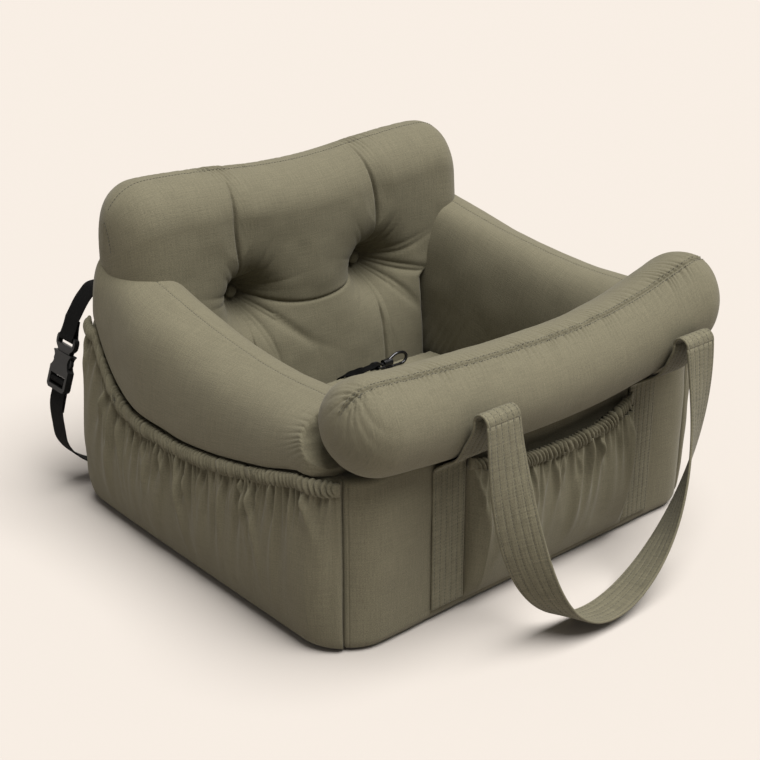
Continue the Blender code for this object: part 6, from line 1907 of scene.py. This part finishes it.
def build_seat_strap(sizes):
    """Both lengths of the strap, and a patch with crossed thread over each anchor."""
    web = strap_webbing()
    strap = dict(width=STRAP_WIDTH, thickness=STRAP_THICKNESS, rows=(), ribs=STRAP_RIBS)
    path, across = short_strap_path()
    add_webbing("short_strap", path, across, "black_webbing", web, "seat", ["short_seat_strap"], **strap)
    path, across = long_strap_path()
    start = strap_point(-SOCKET_LENGTH - 4 * STRAP_TAIL, 0.0)
    end = strap_point(-SOCKET_LENGTH - STRAP_TAIL, 0.0)
    add_webbing("long_strap", path, across, "black_webbing", web, None, ["long_seat_strap"],
                bend=(("seat", "buckle_socket"), start, end), **strap)
    near = HALF_DEPTH + 2 * CLEARANCE + STRAP_THICKNESS * 1.5
    for word, side in (("left", -1), ("right", 1)):
        z = np.linspace(ANCHOR_TOP - ANCHOR_PATCH, ANCHOR_TOP, PATCH_POINTS) - STRAP_THICKNESS
        x = side * ANCHOR_X
        path = np.column_stack([np.full(PATCH_POINTS, x), np.full(PATCH_POINTS, near), z])
        strap["width"] = STRAP_WIDTH + 2 * STRAP_THICKNESS
        add_webbing(word + "_anchor_patch", path, SIDEWAYS, "black_webbing", web, "seat",
                    [word + "_strap_anchor"], **strap)
        face = near + STRAP_THICKNESS / 2
        half = STRAP_WIDTH / 2 - PATCH_MARGIN
        low, high = z[0] + PATCH_STITCH_END, z[-1] - PATCH_STITCH_END
        corners = [(x - half, low), (x + half, low), (x + half, high), (x - half, high), (x - half, low),
                   (x + half, high), (x - half, high), (x + half, low)]
        lines = []
        for first, last in zip(corners[:-1], corners[1:]):
            steps = np.linspace(0, 1, 20)[:, None]
            flat = np.array(first) + (np.array(last) - np.array(first)) * steps
            line = np.column_stack([flat[:, 0], np.full(20, face), flat[:, 1]])
            lines.append((line, np.tile((0.0, 1.0, 0.0), (20, 1))))
        bars = stitch_bars(word + "_anchor_stitches", lines, sizes, PATCH_STITCH_SHARE)
        finish_piece(bars, web, "seat")


def build_buckle():
    """The buckle's mouldings, from their frame nodes."""
    for node, body in (("buckle_plug", "seat"), ("buckle_socket", "buckle_socket"),
                       ("left_prong", "left_prong"), ("right_prong", "right_prong")):
        piece = refined(node, node + "_moulding", BUCKLE_EDGE)
        finish_piece(piece, buckle_plastic(), body, [node])


# Tether

def snap_point(along, up):
    """A point on the snap's upright middle plane, from its own centre."""
    x, y, z = SNAP_PLACE
    return (x + along, y, z + up)


def tether_path():
    """Narrow webbing from the crease behind the seat cushion to a sewn loop in the eye."""
    turn = EYE_ROD + TETHER_THICKNESS / 2 + 2 * CLEARANCE
    layer = TETHER_THICKNESS / 2 + CLEARANCE
    reach = TETHER_WIDTH
    loop = [snap_point(EYE_FAR + turn * cos(a), turn * sin(a)) for a in np.linspace(-pi / 2, pi / 2, 7)]
    tail = [snap_point(EYE_FAR - reach, -layer), snap_point(EYE_FAR - reach / 2, -layer * 1.3)]
    over = [snap_point(EYE_FAR - reach / 2, layer * 1.3), snap_point(EYE_FAR - reach, layer)]
    wrap = tail + loop + over
    end_z = (CUSHION_FOOT + SEAT_HEIGHT) / 2
    end_y = SEAT_BACK + CLEARANCE + TETHER_THICKNESS / 2
    x, y, z = SNAP_PLACE
    end_x = x + EYE_FAR - 2.6 * reach
    run = [
        snap_point(EYE_FAR - reach, layer), (x + EYE_FAR - 1.5 * reach, y, z + layer / 2),
        (x + EYE_FAR - 2.1 * reach, y + (end_y - y) * 0.3, z - (z - end_z) * 0.18),
        (end_x, end_y - (end_y - y) * 0.28, z - (z - end_z) * 0.42),
        (end_x, end_y, z - (z - end_z) * 0.78),
        (end_x, end_y, end_z),
    ]
    across = [(0, 1, 0), (0, 1, 0), (0.5, 0.9, 0.2), (0.95, 0.3, 0.1), (1, 0, 0), (1, 0, 0)]
    return joined_routes([(wrap, [(0, 1, 0)] * len(wrap), 70), (run, across, 60)])


def build_tether():
    """The tether's webbing, and the snap's castings from their frame nodes."""
    path, across = tether_path()
    add_webbing("tether_strap", path, across, "black_webbing", strap_webbing(), "seat",
                ["tether_webbing"], width=TETHER_WIDTH, thickness=TETHER_THICKNESS, rows=(), ribs=TETHER_RIBS)
    for node, body, edge in (("swivel_eye", "seat", CAST_EDGE), ("snap_hook", "snap_hook", HOOK_EDGE),
                             ("snap_bolt", "snap_bolt", CAST_EDGE)):
        piece = refined(node, node + "_casting", edge)
        finish_piece(piece, snap_metal(), body, [node])


# Stage

def build_stage(colours):
    """A pale floor, a soft key high up to the right, an even sky that looks brighter than it
    lights, and the photograph's camera."""
    scene = bpy.context.scene
    scene.view_settings.view_transform = "Standard"
    reach = FLOOR_REACH
    mesh = bpy.data.meshes.new("floor")
    corners = [(-reach, -reach, 0), (reach, -reach, 0), (reach, reach, 0), (-reach, reach, 0)]
    mesh.from_pydata(corners, [], [(0, 1, 2, 3)])
    floor = new_object("floor", mesh)
    paint, _, shader = new_material("floor_paint", roughness=0.95, specular=0.0)
    shader.inputs["Base Color"].default_value = (*colours.floor, 1.0)
    mesh.materials.append(paint)
    sun = bpy.data.lights.new("key", "SUN")
    sun.energy = SUN_STRENGTH
    sun.angle = SUN_ANGLE
    sun.color = SUN_COLOUR
    new_object("key", sun).rotation_euler = SUN_TURN
    world = bpy.data.worlds.new("studio")
    scene.world = world
    world.use_nodes = True
    tree = world.node_tree
    back = tree.nodes["Background"]
    path = tree.nodes.new("ShaderNodeLightPath")
    seen = maths(tree, "MAXIMUM", path.outputs["Is Glossy Ray"], path.outputs["Is Transmission Ray"])
    seen = maths(tree, "MAXIMUM", path.outputs["Is Camera Ray"], seen)
    back.inputs["Color"].default_value = SKY_COLOUR
    strength = maths(tree, "ADD", SKY_LIGHT, maths(tree, "MULTIPLY", seen, SKY_SEEN))
    tree.links.new(strength, back.inputs["Strength"])
    lens = bpy.data.cameras.new("camera")
    lens.sensor_width = SENSOR
    lens.lens = FOCAL_PIXELS / FRAME_PIXELS * SENSOR
    camera = new_object("camera", lens)
    camera.location = CAMERA_PLACE
    camera.rotation_euler = (pi / 2 - CAMERA_PITCH, 0.0, CAMERA_HEADING)
    scene.camera = camera


# Operators, panel and registration

class SeatStep:
    """What the operators share: each can be undone."""

    bl_options = {"REGISTER", "UNDO"}


class CARSEAT_OT_stage(SeatStep, bpy.types.Operator):
    """Add the floor, the lights and the camera"""

    bl_idname = "car_seat.stage"
    bl_label = "Stage"

    def execute(self, context):
        build_stage(context.scene.car_seat_colours)
        return {"FINISHED"}


class CARSEAT_OT_walls(SeatStep, bpy.types.Operator):
    """Build the four padded walls and the bottom"""

    bl_idname = "car_seat.walls"
    bl_label = "Walls and bottom"

    def execute(self, context):
        build_walls(context.scene.car_seat_sizes)
        build_bottom()
        return {"FINISHED"}


class CARSEAT_OT_arms(SeatStep, bpy.types.Operator):
    """Build the two arm bolsters"""

    bl_idname = "car_seat.arms"
    bl_label = "Arm bolsters"

    def execute(self, context):
        build_arms(context.scene.car_seat_sizes)
        return {"FINISHED"}


class CARSEAT_OT_roll(SeatStep, bpy.types.Operator):
    """Build the front roll"""

    bl_idname = "car_seat.roll"
    bl_label = "Front roll"

    def execute(self, context):
        build_roll(context.scene.car_seat_sizes)
        return {"FINISHED"}


class CARSEAT_OT_backrest(SeatStep, bpy.types.Operator):
    """Build the tufted backrest and its buttons"""

    bl_idname = "car_seat.backrest"
    bl_label = "Backrest"

    def execute(self, context):
        build_backrest(context.scene.car_seat_sizes)
        return {"FINISHED"}


class CARSEAT_OT_seat_cushion(SeatStep, bpy.types.Operator):
    """Build the seat cushion"""

    bl_idname = "car_seat.seat_cushion"
    bl_label = "Seat cushion"

    def execute(self, context):
        build_seat_cushion(context.scene.car_seat_sizes)
        return {"FINISHED"}


class CARSEAT_OT_pockets(SeatStep, bpy.types.Operator):
    """Build the gathered pockets and their hems"""

    bl_idname = "car_seat.pockets"
    bl_label = "Pockets"

    def execute(self, context):
        for seed, side in ((111, "left"), (151, "right")):
            build_side_pocket(side, context.scene.car_seat_sizes, seed)
        build_front_pocket(context.scene.car_seat_sizes)
        return {"FINISHED"}


class CARSEAT_OT_handles(SeatStep, bpy.types.Operator):
    """Build the carrying handles with their strips and folds"""

    bl_idname = "car_seat.handles"
    bl_label = "Handles"

    def execute(self, context):
        build_handles(context.scene.car_seat_sizes)
        return {"FINISHED"}


class CARSEAT_OT_seat_strap(SeatStep, bpy.types.Operator):
    """Build the seat strap, its anchors and the buckle"""

    bl_idname = "car_seat.seat_strap"
    bl_label = "Seat strap and buckle"

    def execute(self, context):
        build_seat_strap(context.scene.car_seat_sizes)
        build_buckle()
        return {"FINISHED"}


class CARSEAT_OT_tether(SeatStep, bpy.types.Operator):
    """Build the tether and its swivel snap"""

    bl_idname = "car_seat.tether"
    bl_label = "Tether and snap"

    def execute(self, context):
        build_tether()
        return {"FINISHED"}


STEPS = (
    CARSEAT_OT_stage, CARSEAT_OT_walls, CARSEAT_OT_arms, CARSEAT_OT_roll, CARSEAT_OT_backrest,
    CARSEAT_OT_seat_cushion, CARSEAT_OT_pockets, CARSEAT_OT_handles, CARSEAT_OT_seat_strap,
    CARSEAT_OT_tether,
)


class CARSEAT_PT_build(bpy.types.Panel):
    """Steps, sizes and colours of the car seat"""

    bl_idname = "CARSEAT_PT_build"
    bl_label = "Dog car seat"
    bl_space_type = "VIEW_3D"
    bl_region_type = "UI"
    bl_category = "Car Seat"

    def draw(self, context):
        for step in STEPS:
            self.layout.operator(step.bl_idname)
        for group in (context.scene.car_seat_sizes, context.scene.car_seat_colours):
            box = self.layout.box()
            for name in group.__annotations__:
                box.prop(group, name)


CLASSES = (CarSeatSizes, CarSeatColours, *STEPS, CARSEAT_PT_build)


def register():
    for made in CLASSES:
        bpy.utils.register_class(made)
    bpy.types.Scene.car_seat_sizes = PointerProperty(type=CarSeatSizes)
    bpy.types.Scene.car_seat_colours = PointerProperty(type=CarSeatColours)


def unregister():
    del bpy.types.Scene.car_seat_colours
    del bpy.types.Scene.car_seat_sizes
    for made in reversed(CLASSES):
        bpy.utils.unregister_class(made)


def main():
    register()
    for step in STEPS:
        getattr(bpy.ops.car_seat, step.bl_idname.split(".")[1])()


if __name__ == "__main__":
    main()
